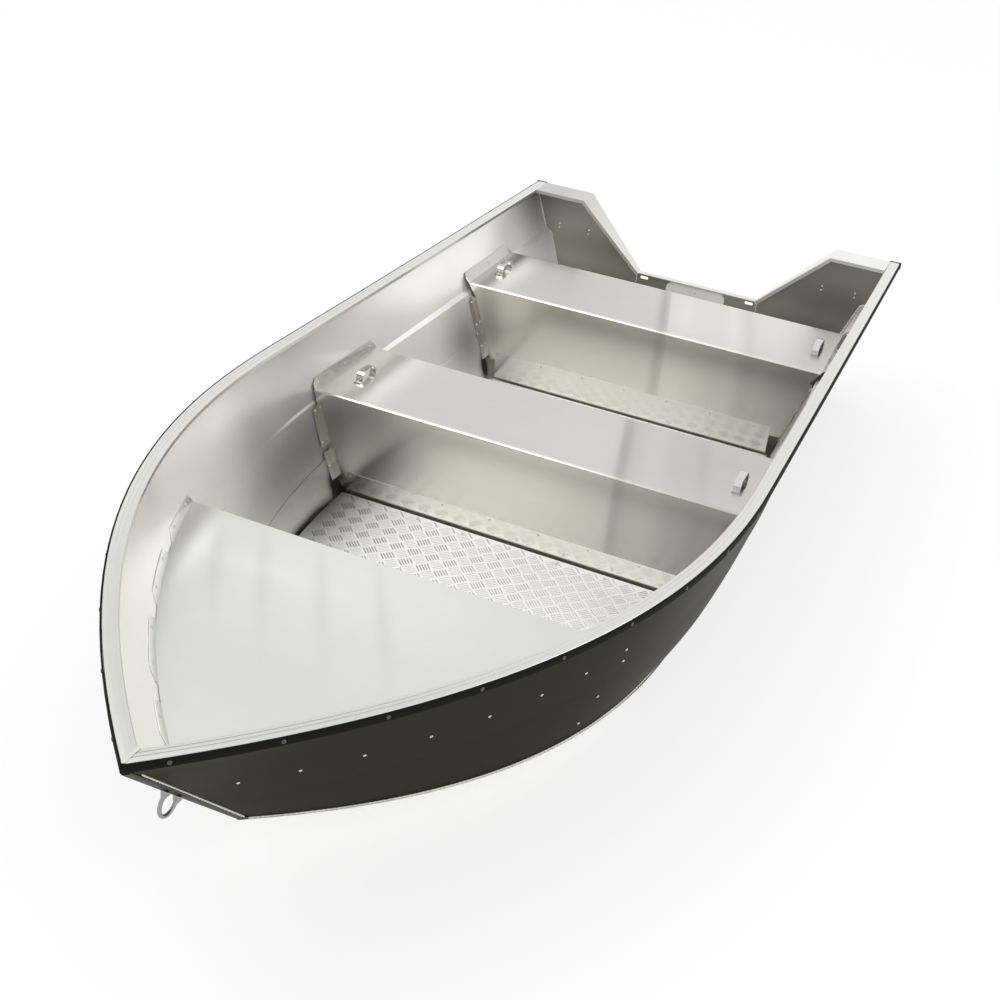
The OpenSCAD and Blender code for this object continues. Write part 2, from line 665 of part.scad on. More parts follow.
// Sheet folded down along an edge, seen from the side, with its corner at the origin.
module folded_edge(depth, reach) {
    translate([0, -depth]) square([fold_thickness, depth - fold_radius]);
    translate([fold_radius, -fold_thickness]) square([reach - fold_radius, fold_thickness]);
    intersection() {
        translate([fold_radius, -fold_radius]) difference() {
            circle(r = fold_radius);
            circle(r = fold_radius - fold_thickness);
        }
        translate([0, -fold_radius]) square(fold_radius);
    }
}

module bow_deck() {
    inset = wall_depth + 0.1;
    lip_half = wall(deck_start, deck_height - deck_lip, wall_depth) - 1;
    first = deck_start + fold_radius;
    last = stem_at(deck_height, inset) - 20;
    rows = [for (i = [0 : 32]) let(x = mix(first, last, i / 32))
        [x, wall(x, deck_height - fold_thickness, inset)]];
    color(alloy) placed() {
        translate([0, 0, deck_height - fold_thickness]) linear_extrude(fold_thickness)
            polygon(concat(rows, [for (i = [len(rows) - 1 : -1 : 0]) [rows[i][0], -rows[i][1]]]));
        translate([deck_start, lip_half, deck_height]) rotate([90, 0, 0])
            linear_extrude(2 * lip_half) folded_edge(deck_lip, fold_radius + 8);
        mirrored() for (i = [0 : 3])
            wall_tab(deck_start + 6 + i * deck_tab_pitch,
                deck_start + 6 + i * deck_tab_pitch + deck_tab_length * (i == 3 ? 0.6 : 1),
                deck_height - fold_thickness, deck_height + tab_height, 16);
    }
}

module deck_bulkhead() {
    x = deck_start + fit_gap + 6;
    low = chine_level(x + 4) + 1;
    color(alloy) placed() {
        across(x, fold_thickness)
            polygon(both(half_section(x, low, deck_height - fold_thickness - fit_gap, bilge_inset + 1)));
        mirrored() for (z = [deck_height - 74, (deck_height + low) / 2, low + 24])
            wall_tab(x + fold_thickness / 2, x + flange_width, z - 20, z + 20, 4, bilge_inset);
    }
}

// Folded sheet seen from the side: top, front face and rear face with round folds.
module bench_fold(height, low) {
    difference() {
        union() {
            translate([0, low]) square([bench_depth, height - fold_radius - low]);
            translate([fold_radius, low]) square([bench_depth - 2 * fold_radius, height - low]);
            for (x = [fold_radius, bench_depth - fold_radius]) translate([x, height - fold_radius])
                circle(r = fold_radius);
        }
        translate([fold_thickness, low - 1])
            square([bench_depth - 2 * fold_thickness, height - fold_radius - low + 1]);
        translate([fold_radius, low - 1])
            square([bench_depth - 2 * fold_radius, height - fold_thickness - low + 1]);
        for (x = [fold_radius, bench_depth - fold_radius]) translate([x, height - fold_radius])
            circle(r = fold_radius - fold_thickness);
    }
}

// Bench of top and two faces. Its front face has flanges on the hull, parted by a notch, and
// its top has tabs that lean out to the hull.
module bench(start, height, upstand, lean) {
    low = floor_height + upstand - upstand_lap;
    end = start + bench_depth;
    notch = max(mix(low, height, 0.34), lap(start) + 2);
    slit = height - 42;
    free = wall_depth + lean;
    under = [low + 1, notch - 6];
    over = [notch + 6, slit - 2];
    reach = concat([for (z = [low - 2, under[0], mix(under[0], under[1], 0.5), under[1], notch - 0.5])
            [z, bilge_depth]],
        [for (z = [notch, over[0], mix(over[0], over[1], 0.5), over[1], slit - 0.5]) [z, wall_depth]],
        [[slit, free], [height + 1, free]]);
    intersection() {
        translate([start, half_beam * 1.2, 0]) rotate([90, 0, 0]) linear_extrude(stern_beam * 1.2)
            bench_fold(height, low);
        skin([for (x = [start - 1, end + 1])
            let(outline = both([for (q = reach) [wall(x, q[0], q[1]) - 0.1, q[0]]]))
            [for (i = [len(outline) - 1 : -1 : 0]) [x, outline[i][0], outline[i][1]]]]);
    }
    mirrored() {
        wall_tab(start + 2, end - 2, height - fold_thickness / 2, height + tab_height, 14,
            wall_depth + 0.6, lean);
        wall_tab(end - fold_thickness / 2, end + flange_width, over[0], over[1], 5, wall_depth + 0.6);
        wall_tab(end - fold_thickness / 2, end + flange_width, under[0], under[1], 5, bilge_depth + 0.6);
    }
}

module bench_forward() {
    color(alloy) placed()
        bench(forward_bench_start, forward_bench_height, forward_upstand, forward_tab_lean);
}

module bench_aft() {
    color(alloy) placed() bench(aft_bench_start, aft_bench_height, aft_upstand, aft_tab_lean);
}

// Angle strip that stands on the bottom and laps over the front face of a bench.
module upstand(start, height) {
    x = start + bench_depth + fit_gap;
    half = wall(x, floor_height, bilge_depth) - limber_width;
    base = chine_level(x + fold_thickness);
    foot = min(half - 2, wall(x, base + 1, bilge_depth) - limber_width / 2);
    across(x, fold_thickness)
        polygon(both([[foot, base + fold_thickness / 2], [half, floor_height],
            [half, floor_height + height]]));
    across(x - 28, 28 + fold_thickness / 2)
        translate([3 - foot, base]) square([2 * foot - 6, fold_thickness]);
}

module upstand_forward() {
    color(alloy) placed() upstand(forward_bench_start, forward_upstand);
}

module upstand_aft() {
    color(alloy) placed() upstand(aft_bench_start, aft_upstand);
}

module floor_panel(span) {
    rows = [for (i = [0 : 10]) let(x = mix(span[0], span[1], i / 10))
        [x, wall(x, floor_under, bilge_depth) - floor_margin]];
    color(plate) placed() translate([0, 0, floor_under]) linear_extrude(floor_thickness)
        polygon(concat(rows, [for (i = [10 : -1 : 0]) [rows[i][0], -rows[i][1]]]));
}

module floor_forward() {
    floor_panel(floor_spans[2]);
}

module floor_middle() {
    floor_panel(floor_spans[1]);
}

module floor_aft() {
    floor_panel(floor_spans[0]);
}

// Low arch with round shoulders, seen from the side.
module arch(half, height, bend) {
    intersection() {
        translate([-half, 0]) square([2 * half, height]);
        union() {
            translate([-half, 0]) square([2 * half, height - bend]);
            translate([bend - half, 0]) square([2 * (half - bend), height]);
            for (s = [-1, 1]) translate([s * (half - bend), height - bend]) circle(r = bend);
        }
    }
}

module loop() {
    half = loop_arch / 2;
    foot = (loop_length - loop_arch) / 2;
    translate([0, loop_width / 2, 0]) rotate([90, 0, 0]) linear_extrude(loop_width) {
        difference() {
            arch(half, loop_height, loop_bend);
            translate([0, -1])
                arch(half - loop_strap, loop_height - loop_strap + 1, loop_bend - loop_strap);
        }
        for (s = [-1, 1]) translate([s > 0 ? half - loop_strap : -half - foot, 0])
            square([foot + loop_strap, loop_strap]);
    }
}

module loops(x, half, height) {
    color(alloy) placed() mirrored() translate([x, half, height + fit_gap]) loop();
}

module side_port() {
    color(alloy) placed() side_sheet();
}

module side_starboard() {
    color(alloy) placed() mirror([0, 1, 0]) side_sheet();
}

module bilge_port() {
    color(alloy) placed() bilge_strip();
}

module bilge_starboard() {
    color(alloy) placed() mirror([0, 1, 0]) bilge_strip();
}

module gunwale_port() {
    gunwale_half();
}

module gunwale_starboard() {
    mirror([0, 1, 0]) gunwale_half();
}

module rub_rail_port() {
    rub_rail_half();
}

module rub_rail_starboard() {
    mirror([0, 1, 0]) rub_rail_half();
}

module loops_forward() {
    loops(forward_bench_start + forward_loop_back, forward_loop_half, forward_bench_height);
}

module loops_aft() {
    loops(aft_bench_start + aft_loop_back, aft_loop_half, aft_bench_height);
}

bottom();
bottom_runners();
floor_bearers();
side_port();
side_starboard();
bilge_port();
bilge_starboard();
stem();
bow_eye();
transom();
transom_cap();
motor_pad_inner();
motor_pad_outer();
transom_handles();
drain_plug();
gunwale_port();
gunwale_starboard();
rub_rail_port();
rub_rail_starboard();
rail_ends();
bow_joint();
bow_deck();
deck_bulkhead();
bench_forward();
bench_aft();
upstand_forward();
upstand_aft();
floor_forward();
floor_middle();
floor_aft();
loops_forward();
loops_aft();
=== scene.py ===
"""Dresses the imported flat-bottomed aluminium boat and sets it on a pale studio floor.

The solids come from the frame. This script gives them their finishes and adds what is too fine
for solids: smooth side sheets, raised tread bars, rivets, weld beads and screw heads.
Hull lines are worked in millimetres from the transom, and meshes are made in metres.
"""

from __future__ import annotations

import logging
import math
from dataclasses import dataclass, field
from enum import Enum

import bpy
import numpy as np
from mathutils import Matrix, Vector

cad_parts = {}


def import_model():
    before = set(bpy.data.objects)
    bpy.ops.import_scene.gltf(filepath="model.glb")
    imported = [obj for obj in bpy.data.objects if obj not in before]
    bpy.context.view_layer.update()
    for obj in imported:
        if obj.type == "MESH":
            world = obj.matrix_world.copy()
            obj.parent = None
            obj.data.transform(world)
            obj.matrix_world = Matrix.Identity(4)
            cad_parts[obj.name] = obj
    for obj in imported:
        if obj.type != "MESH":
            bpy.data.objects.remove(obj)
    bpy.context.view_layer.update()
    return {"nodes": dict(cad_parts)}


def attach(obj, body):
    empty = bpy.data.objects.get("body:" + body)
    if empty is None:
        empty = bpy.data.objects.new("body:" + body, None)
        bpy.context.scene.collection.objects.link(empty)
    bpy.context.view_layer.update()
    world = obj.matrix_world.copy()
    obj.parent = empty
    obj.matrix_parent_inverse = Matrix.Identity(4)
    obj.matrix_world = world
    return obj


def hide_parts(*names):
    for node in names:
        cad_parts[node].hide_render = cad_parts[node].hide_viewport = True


LOG = logging.getLogger("boat")
Pair = tuple[float, float]
Vec3 = tuple[float, float, float]
Color = tuple[float, float, float]
Run = tuple[float, float, int]
Rows = list[tuple]
Array = np.ndarray
Piece = bpy.types.Object
Material = bpy.types.Material
Palette = dict[str, Material]
ROOT = "root"
FITTING = "fitting_alloy"
SIDES = ((1.0, "port"), (-1.0, "starboard"))
FAR = math.inf


def unit(v: Array) -> Array:
    """Vectors of length one along the last axis."""
    return v / np.linalg.norm(v, axis=-1, keepdims=True)


def mirror(sign: float) -> Array:
    """Factors that take a port point to port (1) or to starboard (-1)."""
    return np.array([1.0, sign, 1.0])


# Hull lines.


@dataclass(frozen=True)
class PlanLine:
    """Half width that grows evenly and then closes in by a power of the way to the bow."""

    half: float
    slope: float
    turn: float
    power: float
    tip: float = 0.15

    def setback(self, end: float) -> float:
        """Distance that a line's end moves aft for each millimetre of depth into the boat."""
        slope = (self.half + self.slope * end) * self.power / (end - self.turn) - self.slope
        return math.hypot(1, slope) / slope

    def at(self, x: Array, half: Array | float, end: float) -> Array:
        """Half width at distances x, with another half width at the stern and an end at the bow."""
        u = np.clip((x - self.turn) / (end - self.turn), 0, None)
        return half + self.slope * x - (half + self.slope * end - self.tip) * u**self.power


@dataclass
class HullForm:
    """Lines of the hull in millimetres, with x from the transom, y to port and z from the ground.

    A span says over which part of the length one shape passes into the next.
    """

    length: float = 3224.0
    stern_height: float = 475.0
    sheer_rise: float = 72.0
    rim_line: PlanLine = PlanLine(658.0, 0.0132, 1699.048, 2.32)
    chine_line: PlanLine = PlanLine(460.0, 0.041, 1428.232, 2.89)
    chine_height: float = 13.1
    rocker_start: float = 1499.16
    rocker_rise: float = 133.0
    stem_foot: float = 2897.086
    stem_power: int = 6
    stem_gap: float = 4.0
    knee_line: PlanLine = PlanLine(572.0, 0.0, 1350.856, 3.0)
    knee_gain: float = 60.0
    knee_span: Pair = (0.14, 0.512)
    curves: Vec3 = (1.1, 0.61, 0.95)
    middle_span: Pair = (0.217, 0.45)
    bow_span: Pair = (0.543, 0.713)
    ledge_height: float = 317.0
    ledge_fall: float = 36.0
    ledge_span: Pair = (0.1, 0.6)
    ledge_depth: float = 19.0
    ledge_drop: float = 10.0
    ledge_end: float = 1760.304
    lap_height: float = 210.0
    lap_fall: float = 115.0
    lap_end: float = 2250.35
    rake: float = math.radians(8.9)
    stern_gap: float = 0.3
    overhang: float = 32.3
    sheet_inset: float = 2.8
    rim_drop: float = 2.8
    gunwale_depth: float = 20.0
    rail: float = 4.0
    corrections: int = 8
    probe: Pair = (0.004, 0.01)
    rim_setback: float = field(init=False)
    chine_setback: float = field(init=False)
    middle: float = field(init=False)
    stem_part: float = field(init=False)

    def __post_init__(self) -> None:
        """Works out the setbacks at the bow, the middle of the overall length and the upright of the stem."""
        self.rim_setback = self.rim_line.setback(self.length)
        self.chine_setback = self.chine_line.setback(self.stem_foot)
        self.middle = (self.length + self.rail * self.rim_setback - self.overhang) / 2
        low_z, top_z = self.ends(np.array(1.0), 0.0)[2:]
        high = float(self.sheer(np.array(self.length))) - self.gunwale_depth - self.stem_gap
        self.stem_part = float((high - low_z) / (top_z - low_z))

    @staticmethod
    def ramp(a: float, b: float, x: Array) -> Array:
        """Smooth step from 0 at a to 1 at b."""
        u = np.clip((x - a) / (b - a), 0, 1)
        return u * u * (3 - 2 * u)

    def sheer(self, x: Array) -> Array:
        """Height of the rim, rising by a mean of straight line and parabola."""
        u = x / self.length
        return self.stern_height + self.sheer_rise * (u + u * u) / 2

    def chine_level(self, x: Array) -> Array:
        """Height of the bottom, flat and then rising by a parabola."""
        u = np.clip((x - self.rocker_start) / (self.stem_foot - self.rocker_start), 0, None)
        return self.chine_height + self.rocker_rise * u * u

    def lap_level(self, x: float) -> float:
        """Height of the line where the bilge strip laps the side."""
        return self.lap_height - self.lap_fall * x / self.lap_end

    def rake_x(self, z: Array | float) -> Array | float:
        """Distance of the leaning transom's inner face at a height."""
        return (self.stern_height - z) * math.tan(self.rake)

    def rim(self, x: Array, inset: float) -> Array:
        """Half width of the rim at a depth into the boat."""
        end = self.length - inset * self.rim_setback
        return self.rim_line.at(x, self.rim_line.half - inset, end)

    def chine(self, x: Array, inset: float) -> Array:
        """Half width of the bottom at a depth into the boat."""
        end = self.stem_foot - inset * self.chine_setback
        return self.chine_line.at(x, self.chine_line.half - inset, end)

    def ledge_level(self, t: Array | float) -> Array:
        """Height of the pressed ledge, falling smoothly on its way forward."""
        return self.ledge_height - self.ledge_fall * self.ramp(*self.ledge_span, np.asarray(t, float))

    def ends(self, t: Array, inset: float) -> tuple[Array, Array, Array, Array]:
        """Lower and upper edges of the side, each run through evenly from the transom to the stem.

        Args:
            t: Way from transom to stem, 0 to 1.
            inset: Depth into the boat.

        Returns:
            Distances of the two edges, and then their heights.
        """
        low_x = self.rake_x(self.chine_height) + self.stern_gap
        low_x = low_x + (self.stem_foot - inset * self.chine_setback - low_x) * t
        top_x = self.rake_x(self.stern_height - self.rim_drop) + self.stern_gap
        top_x = top_x + (self.length - (inset + self.sheet_inset) * self.rim_setback - top_x) * t
        return low_x, top_x, self.chine_level(low_x), self.sheer(top_x) - self.rim_drop

    def reach(self, t: Array, v: Array) -> Array:
        """Way from the lower to the upper edge's x at a height, with the stem upright under the gunwale."""
        return v + (np.minimum(1, v / self.stem_part) - v) * np.asarray(t, float) ** self.stem_power

    def knee_end(self, inset: float) -> float:
        """Distance at which the ledge's line meets the stem, by its way up the stem's slope.

        Args:
            inset: Depth into the boat.

        Returns:
            The distance from the transom.
        """
        low_x, top_x, low_z, top_z = self.ends(np.array(1.0), inset)
        way = (self.ledge_level(1.0) - low_z) / (top_z - low_z)
        return float(low_x + (top_x - low_x) * min(1.0, way / self.stem_part))

    def side(self, t: Array, v: Array, inset: float) -> Array:
        """Points on a side sheet.

        The section is a power curve from chine to ledge, the sloping ledge, and a straight run to the top.

        Args:
            t: Way from transom to stem, 0 to 1.
            v: Way from chine to top, 0 to 1.
            inset: Depth into the boat.

        Returns:
            Points with a last axis of three.
        """
        low_x, top_x, low_z, top_z = self.ends(t, inset)
        run = top_x - low_x
        rise = top_z - low_z
        level = self.ledge_level(t)
        a = (level - low_z) / rise
        b = (level + self.ledge_drop - low_z) / rise
        knee_x = low_x + run * self.reach(t, a)
        part = knee_x / self.length
        half = self.knee_line.half + self.knee_gain * self.ramp(*self.knee_span, part) - inset
        inner = self.knee_line.at(knee_x, half, self.knee_end(inset))
        step = self.ledge_depth * np.clip(1 - knee_x / self.ledge_end, 0, None)
        top = self.rim(top_x, inset + self.sheet_inset)
        outer = inner + step + (top - inner - step) * (b - a) / (1 - a)
        stern, mid, bow = self.curves
        power = stern + (mid - stern) * self.ramp(*self.middle_span, part)
        power = power + (bow - power) * self.ramp(*self.bow_span, part)
        low = self.chine(low_x, inset)
        y = low + (inner - low) * np.clip(v / a, 0, 1) ** power
        y = np.where(v > a, inner + (outer - inner) * np.clip((v - a) / (b - a), 0, 1), y)
        y = np.where(v > b, outer + (top - outer) * np.clip((v - b) / (1 - b), 0, 1), y)
        return np.stack([low_x + run * self.reach(t, v), y, low_z + rise * v], -1)

    def at(self, x: Array, z: Array, inset: float) -> tuple[Array, Array]:
        """Finds t and v of the side at distances x and heights z by a few corrections.

        Args:
            x: Distances from the transom.
            z: Heights.
            inset: Depth into the boat.

        Returns:
            The parameters t and v.
        """
        t = np.asarray(x, float) / self.length
        for _ in range(self.corrections):
            low_x, top_x, low_z, top_z = self.ends(t, inset)
            v = (z - low_z) / (top_z - low_z)
            t = t + (x - low_x - (top_x - low_x) * self.reach(t, v)) / self.length
        return np.clip(t, 0, 1), v

    def seat(self, x: Array, z: Array, inset: float, sign: float,
             outward: bool) -> tuple[Array, Array]:
        """Places on a side sheet with their normals, for heads that sit on it.

        Args:
            x: Distances from the transom.
            z: Heights.
            inset: Depth into the boat.
            sign: 1 for port and -1 for starboard.
            outward: Whether the heads look out of the boat.

        Returns:
            Points and unit normals.
        """
        t, v = self.at(x, z, inset)
        dt, dv = self.probe
        along = self.side(np.clip(t + dt, 0, 1), v, inset) - self.side(t - dt, v, inset)
        up = self.side(t, v + dv, inset) - self.side(t, v - dv, inset)
        n = unit(np.cross(up, along))
        return self.side(t, v, inset) * mirror(sign), (n if outward else -n) * mirror(sign)

    def metres(self, p: Array | Vec3) -> Array:
        """Turns millimetres from the transom into metres in the boat's frame."""
        return (np.asarray(p, float) - np.array([self.middle, 0.0, 0.0])) / 1000


# Meshes.


def add_mesh(name: str, points: Array, faces: Array, smooth: bool = True,
             slots: Array | None = None) -> Piece:
    """Puts whole arrays of points and quads or triangles into a new object that rides on the boat.

    Args:
        name: Name of the piece.
        points: Points in metres, N by 3.
        faces: Point numbers, M by 3 or 4.
        smooth: Whether the faces are shaded smooth.
        slots: Material slot of each face.

    Returns:
        The object.
    """
    mesh = bpy.data.meshes.new(name)
    count, corners = faces.shape
    mesh.vertices.add(len(points))
    mesh.vertices.foreach_set("co", np.ascontiguousarray(points, np.float32).ravel())
    mesh.loops.add(count * corners)
    mesh.loops.foreach_set("vertex_index", np.ascontiguousarray(faces, np.int32).ravel())
    mesh.polygons.add(count)
    mesh.polygons.foreach_set("loop_start", np.arange(count, dtype=np.int32) * corners)
    mesh.polygons.foreach_set("use_smooth", np.full(count, smooth))
    if slots is not None:
        mesh.polygons.foreach_set("material_index", np.ascontiguousarray(slots, np.int32))
    mesh.update(calc_edges=True)
    mesh.validate()
    piece = bpy.data.objects.new(name, mesh)
    bpy.context.scene.collection.objects.link(piece)
    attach(piece, ROOT)
    return piece


def dress(piece: Piece, slot: str, *materials: Material) -> Piece:
    """Gives a new piece its materials.

    Args:
        piece: The new piece.
        slot: Name of the slot; not used.
        materials: Its materials, in the order of the mesh.

    Returns:
        The piece.
    """
    for material in materials:
        piece.data.materials.append(material)
    return piece


def grid_faces(rows: int, columns: int, closed: bool = False, flip: bool = False) -> Array:
    """Quads between the neighbouring points of a grid.

    Args:
        rows: Rows of points.
        columns: Points in a row.
        closed: Whether the last column joins the first.
        flip: Whether the quads are turned over.

    Returns:
        Point numbers, M by 4.
    """
    i = np.arange(rows - 1)[:, None] * columns
    j = np.arange(columns if closed else columns - 1)[None, :]
    k = (j + 1) % columns
    quads = np.stack([i + j, i + k, i + columns + k, i + columns + j], -1).reshape(-1, 4)
    return quads[:, ::-1] if flip else quads


def frames_from(normals: Array) -> Array:
    """Right-handed frames by cross products with the upright, or with the long axis for steep normals.

    Args:
        normals: Unit vectors, N by 3.

    Returns:
        Frames whose third axis is each normal, N by 3 by 3.
    """
    upright = np.array([[0.0, 0.0, 1.0]])
    ahead = np.array([[1.0, 0.0, 0.0]])
    helper = np.where(np.abs(normals[:, 2:]) < 0.9, upright, ahead)
    first = unit(np.cross(helper, normals))
    return np.stack([first, np.cross(normals, first), normals], axis=2)


@dataclass(frozen=True)
class Head:
    """Rivet or screw head in metres: a low dome with a dimple, whose radius is a part of the head's."""

    radius: float
    height: float
    dimple: float = 0.35
    sides: int = 12

    def mesh(self) -> tuple[Array, Array]:
        """One head that looks along z: a profile carried round the axis and closed in the dimple.

        Returns:
            Points in metres, and triangles as point numbers.
        """
        ring = np.array([(1.0, -0.15), (1.0, 0.25), (0.85, 0.72), (0.6, 1.0),
                         (self.dimple, 1.0), (self.dimple * 0.8, 0.6)])
        bottom = 0.55 * self.height
        turns = np.linspace(0, 2 * np.pi, self.sides, endpoint=False)
        wide = ring[:, :1]
        high = np.repeat(ring[:, 1:], self.sides, 1) * self.height
        local = np.stack([wide * np.cos(turns) * self.radius, wide * np.sin(turns) * self.radius, high], -1)
        local = np.vstack([local.reshape(-1, 3), [[0, 0, bottom]]])
        quads = grid_faces(len(ring), self.sides, closed=True)
        last = (len(ring) - 1) * self.sides
        j = np.arange(self.sides)
        fan = np.stack([last + j, last + (j + 1) % self.sides, np.full(self.sides, len(local) - 1)], -1)
        return local, np.vstack([quads[:, [0, 1, 2]], quads[:, [0, 2, 3]], fan])

    def build(self, name: str, places: Array, normals: Array) -> Piece:
        """Sets a head on every place, turned to its normal.

        Args:
            name: Name of the piece.
            places: Seats in metres.
            normals: Directions that the heads look to.

        Returns:
            The object.
        """
        local, faces = self.mesh()
        points = places[:, None, :] + np.einsum("nij,vj->nvi", frames_from(normals), local)
        every = (faces[None] + (np.arange(len(places)) * len(local))[:, None, None]).reshape(-1, 3)
        return add_mesh(name, points.reshape(-1, 3), every)


@dataclass(frozen=True)
class Bead:
    """Weld bead in metres: a tube along a path whose radius ripples with the distance run.

    The radius also changes slowly, by a random width at every knot.
    """

    radius: float
    ripple: float
    pitch: float
    seed: int
    sides: int = 8
    steps: int = 5
    knot: float = 0.06
    widths: Pair = (0.75, 1.15)
    tail: float = 0.2

    def build(self, name: str, path: Array) -> Piece:
        """Lays the bead: rings about the path, whose radius is a slow random width times a ripple.

        Args:
            name: Name of the piece.
            path: Points of the path in metres, N by 3.

        Returns:
            The object.
        """
        step = np.linalg.norm(np.diff(path, axis=0), axis=1)
        run = np.concatenate([[0], np.cumsum(step)])
        s = np.linspace(0, run[-1], max(8, int(run[-1] / self.pitch * self.steps)))
        p = np.stack([np.interp(s, run, path[:, k]) for k in range(3)], -1)
        axes = frames_from(unit(np.gradient(p, axis=0)))
        knots = max(3, int(run[-1] / self.knot))
        widths = np.random.default_rng(self.seed).uniform(*self.widths, knots)
        r = self.radius * np.interp(s, np.linspace(0, run[-1], knots), widths)
        r = r * (1 - self.ripple * np.abs(np.sin(np.pi * s / self.pitch)))
        r[[0, -1]] = self.radius * self.tail
        turns = np.linspace(0, 2 * np.pi, self.sides, endpoint=False)[None, :, None]
        offset = np.cos(turns) * axes[:, None, :, 0] + np.sin(turns) * axes[:, None, :, 1]
        points = p[:, None, :] + r[:, None, None] * offset
        return add_mesh(name, points.reshape(-1, 3), grid_faces(len(s), self.sides, closed=True))


# Shader graphs.


class Wire:
    """One output of a shader graph, whose operators add Math nodes."""

    def __init__(self, graph: Graph, socket: bpy.types.NodeSocket) -> None:
        """Keeps the graph and the socket."""
        self.graph = graph
        self.socket = socket

    def _math(self, operation: str, other: Wire | float, swap: bool = False) -> Wire:
        """Adds one Math node on this wire and another value."""
        a, b = (other, self) if swap else (self, other)
        return self.graph.make("ShaderNodeMath", {"operation": operation}, {0: a, 1: b})

    def __add__(self, other: Wire | float) -> Wire:
        """Sum."""
        return self._math("ADD", other)

    __radd__ = __add__

    def __sub__(self, other: Wire | float) -> Wire:
        """Difference."""
        return self._math("SUBTRACT", other)

    def __rsub__(self, other: float) -> Wire:
        """Difference with the number first."""
        return self._math("SUBTRACT", other, True)

    def __mul__(self, other: Wire | float) -> Wire:
        """Product."""
        return self._math("MULTIPLY", other)

    __rmul__ = __mul__

    def __truediv__(self, other: Wire | float) -> Wire:
        """Quotient."""
        return self._math("DIVIDE", other)

    def __pow__(self, other: float) -> Wire:
        """Power."""
        return self._math("POWER", other)

    def floor(self, lowest: float) -> Wire:
        """The value, or the lowest allowed."""
        return self._math("MAXIMUM", lowest)

    def cap(self, highest: float) -> Wire:
        """The value, or the highest allowed."""
        return self._math("MINIMUM", highest)

    def bell(self) -> Wire:
        """Bell curve of a squared distance, which is e to the minus that distance."""
        return self.graph.make("ShaderNodeMath", {"operation": "EXPONENT"}, {0: self * -1.0})


class Graph:
    """A material's node tree, made node by node."""

    def __init__(self, name: str) -> None:
        """Starts an empty material.

        Args:
            name: Name of the material.
        """
        self.material = bpy.data.materials.new(name)
        self.material.use_nodes = True
        self.tree = self.material.node_tree
        self.tree.nodes.clear()
        self._point: Wire | None = None

    def make(self, kind: str, settings: dict[str, object], sockets: dict[int | str, object],
             output: int | str = 0) -> Wire:
        """Adds any node.

        Args:
            kind: Blender's name of the node type.
            settings: Attributes, which are set first.
            sockets: Values or wires of its inputs.
            output: The output to hand back.

        Returns:
            A wire of that output.
        """
        node = self.tree.nodes.new(kind)
        for key, value in settings.items():
            setattr(node, key, value)
        for key, value in sockets.items():
            socket = node.inputs[key]
            if isinstance(value, Wire):
                self.tree.links.new(value.socket, socket)
            elif isinstance(value, tuple) and len(value) == 3 and socket.type == "RGBA":
                socket.default_value = (*value, 1.0)
            else:
                socket.default_value = value
        return Wire(self, node.outputs[output] if len(node.outputs) else None)

    def point(self) -> Wire:
        """Object coordinates in metres, from one node for the whole graph.

        Returns:
            A wire of the coordinates.
        """
        if self._point is None:
            self._point = self.make("ShaderNodeTexCoord", {}, {}, "Object")
        return self._point

    def axes(self) -> tuple[Wire, Wire, Wire]:
        """The three object coordinates."""
        split = self.make("ShaderNodeSeparateXYZ", {}, {0: self.point()})
        return tuple(Wire(self, split.socket.node.outputs[k]) for k in range(3))

    def noise(self, scale: Vec3, detail: float, rough: float) -> Wire:
        """Noise stretched by a scale for each axis.

        Args:
            scale: Waves to a metre along each axis.
            detail: Number of finer layers.
            rough: Strength of each finer layer.

        Returns:
            A wire about one half.
        """
        place = self.make("ShaderNodeVectorMath", {"operation": "MULTIPLY"}, {0: self.point(), 1: scale})
        sockets = {"Vector": place, "Scale": 1.0, "Detail": detail, "Roughness": rough}
        return self.make("ShaderNodeTexNoise", {}, sockets)

    def tint(self, color: Color, gain: Wire) -> Wire:
        """A colour made lighter or darker by a wire."""
        return self.make("ShaderNodeVectorMath", {"operation": "SCALE"}, {0: color, "Scale": gain})

    def bump(self, height: Wire, distance: float, strength: float) -> Wire:
        """Normal of a height in metres."""
        return self.make("ShaderNodeBump", {}, {"Height": height, "Distance": distance, "Strength": strength})

    def close(self, sockets: dict[int | str, object]) -> Material:
        """Ends the graph in a Principled surface.

        Args:
            sockets: Values or wires of its inputs.

        Returns:
            The material.
        """
        surface = self.make("ShaderNodeBsdfPrincipled", {}, sockets)
        self.make("ShaderNodeOutputMaterial", {}, {"Surface": surface})
        return self.material


class Grain(Enum):
    """Direction of a sheet's rolling lines, as the scale of a stretched noise."""

    FORE_AND_AFT = (3.0, 260.0, 260.0)
    ACROSS = (260.0, 3.0, 260.0)


@dataclass(frozen=True)
class Patch:
    """A soft place of painted light where its gain is above nought, and of painted shade where it is below,
    as a bell in the boat's frame, in metres.

    An endless size leaves that axis out. The turn is about the upright axis, in radians.
    A patch with an edge does not fade on its port side but goes on from a line across its centre.
    """

    center: Vec3
    size: Vec3
    gain: float
    turn: float = 0.0
    edge: bool = False

    def weight(self, axes: tuple[Wire, Wire, Wire]) -> Wire:
        """Part of the gain that falls at a place.

        Args:
            axes: Wires of the three object coordinates.

        Returns:
            A wire from 0 to 1.
        """
        a, b, c = (wire - middle for wire, middle in zip(axes, self.center))
        cos, sin = math.cos(self.turn), math.sin(self.turn)
        ways = (a * cos + b * sin, b * cos - a * sin, c) if self.turn else (a, b, c)
        bells = [(way / size) ** 2.0 for k, (way, size) in enumerate(zip(ways, self.size))
                 if size < FAR and not (self.edge and k == 1)]
        weight = sum(bells[1:], bells[0]).bell()
        if self.edge:
            weight = weight * (ways[1] / self.size[1] + 0.5).floor(0.0).cap(1.0)
        return weight


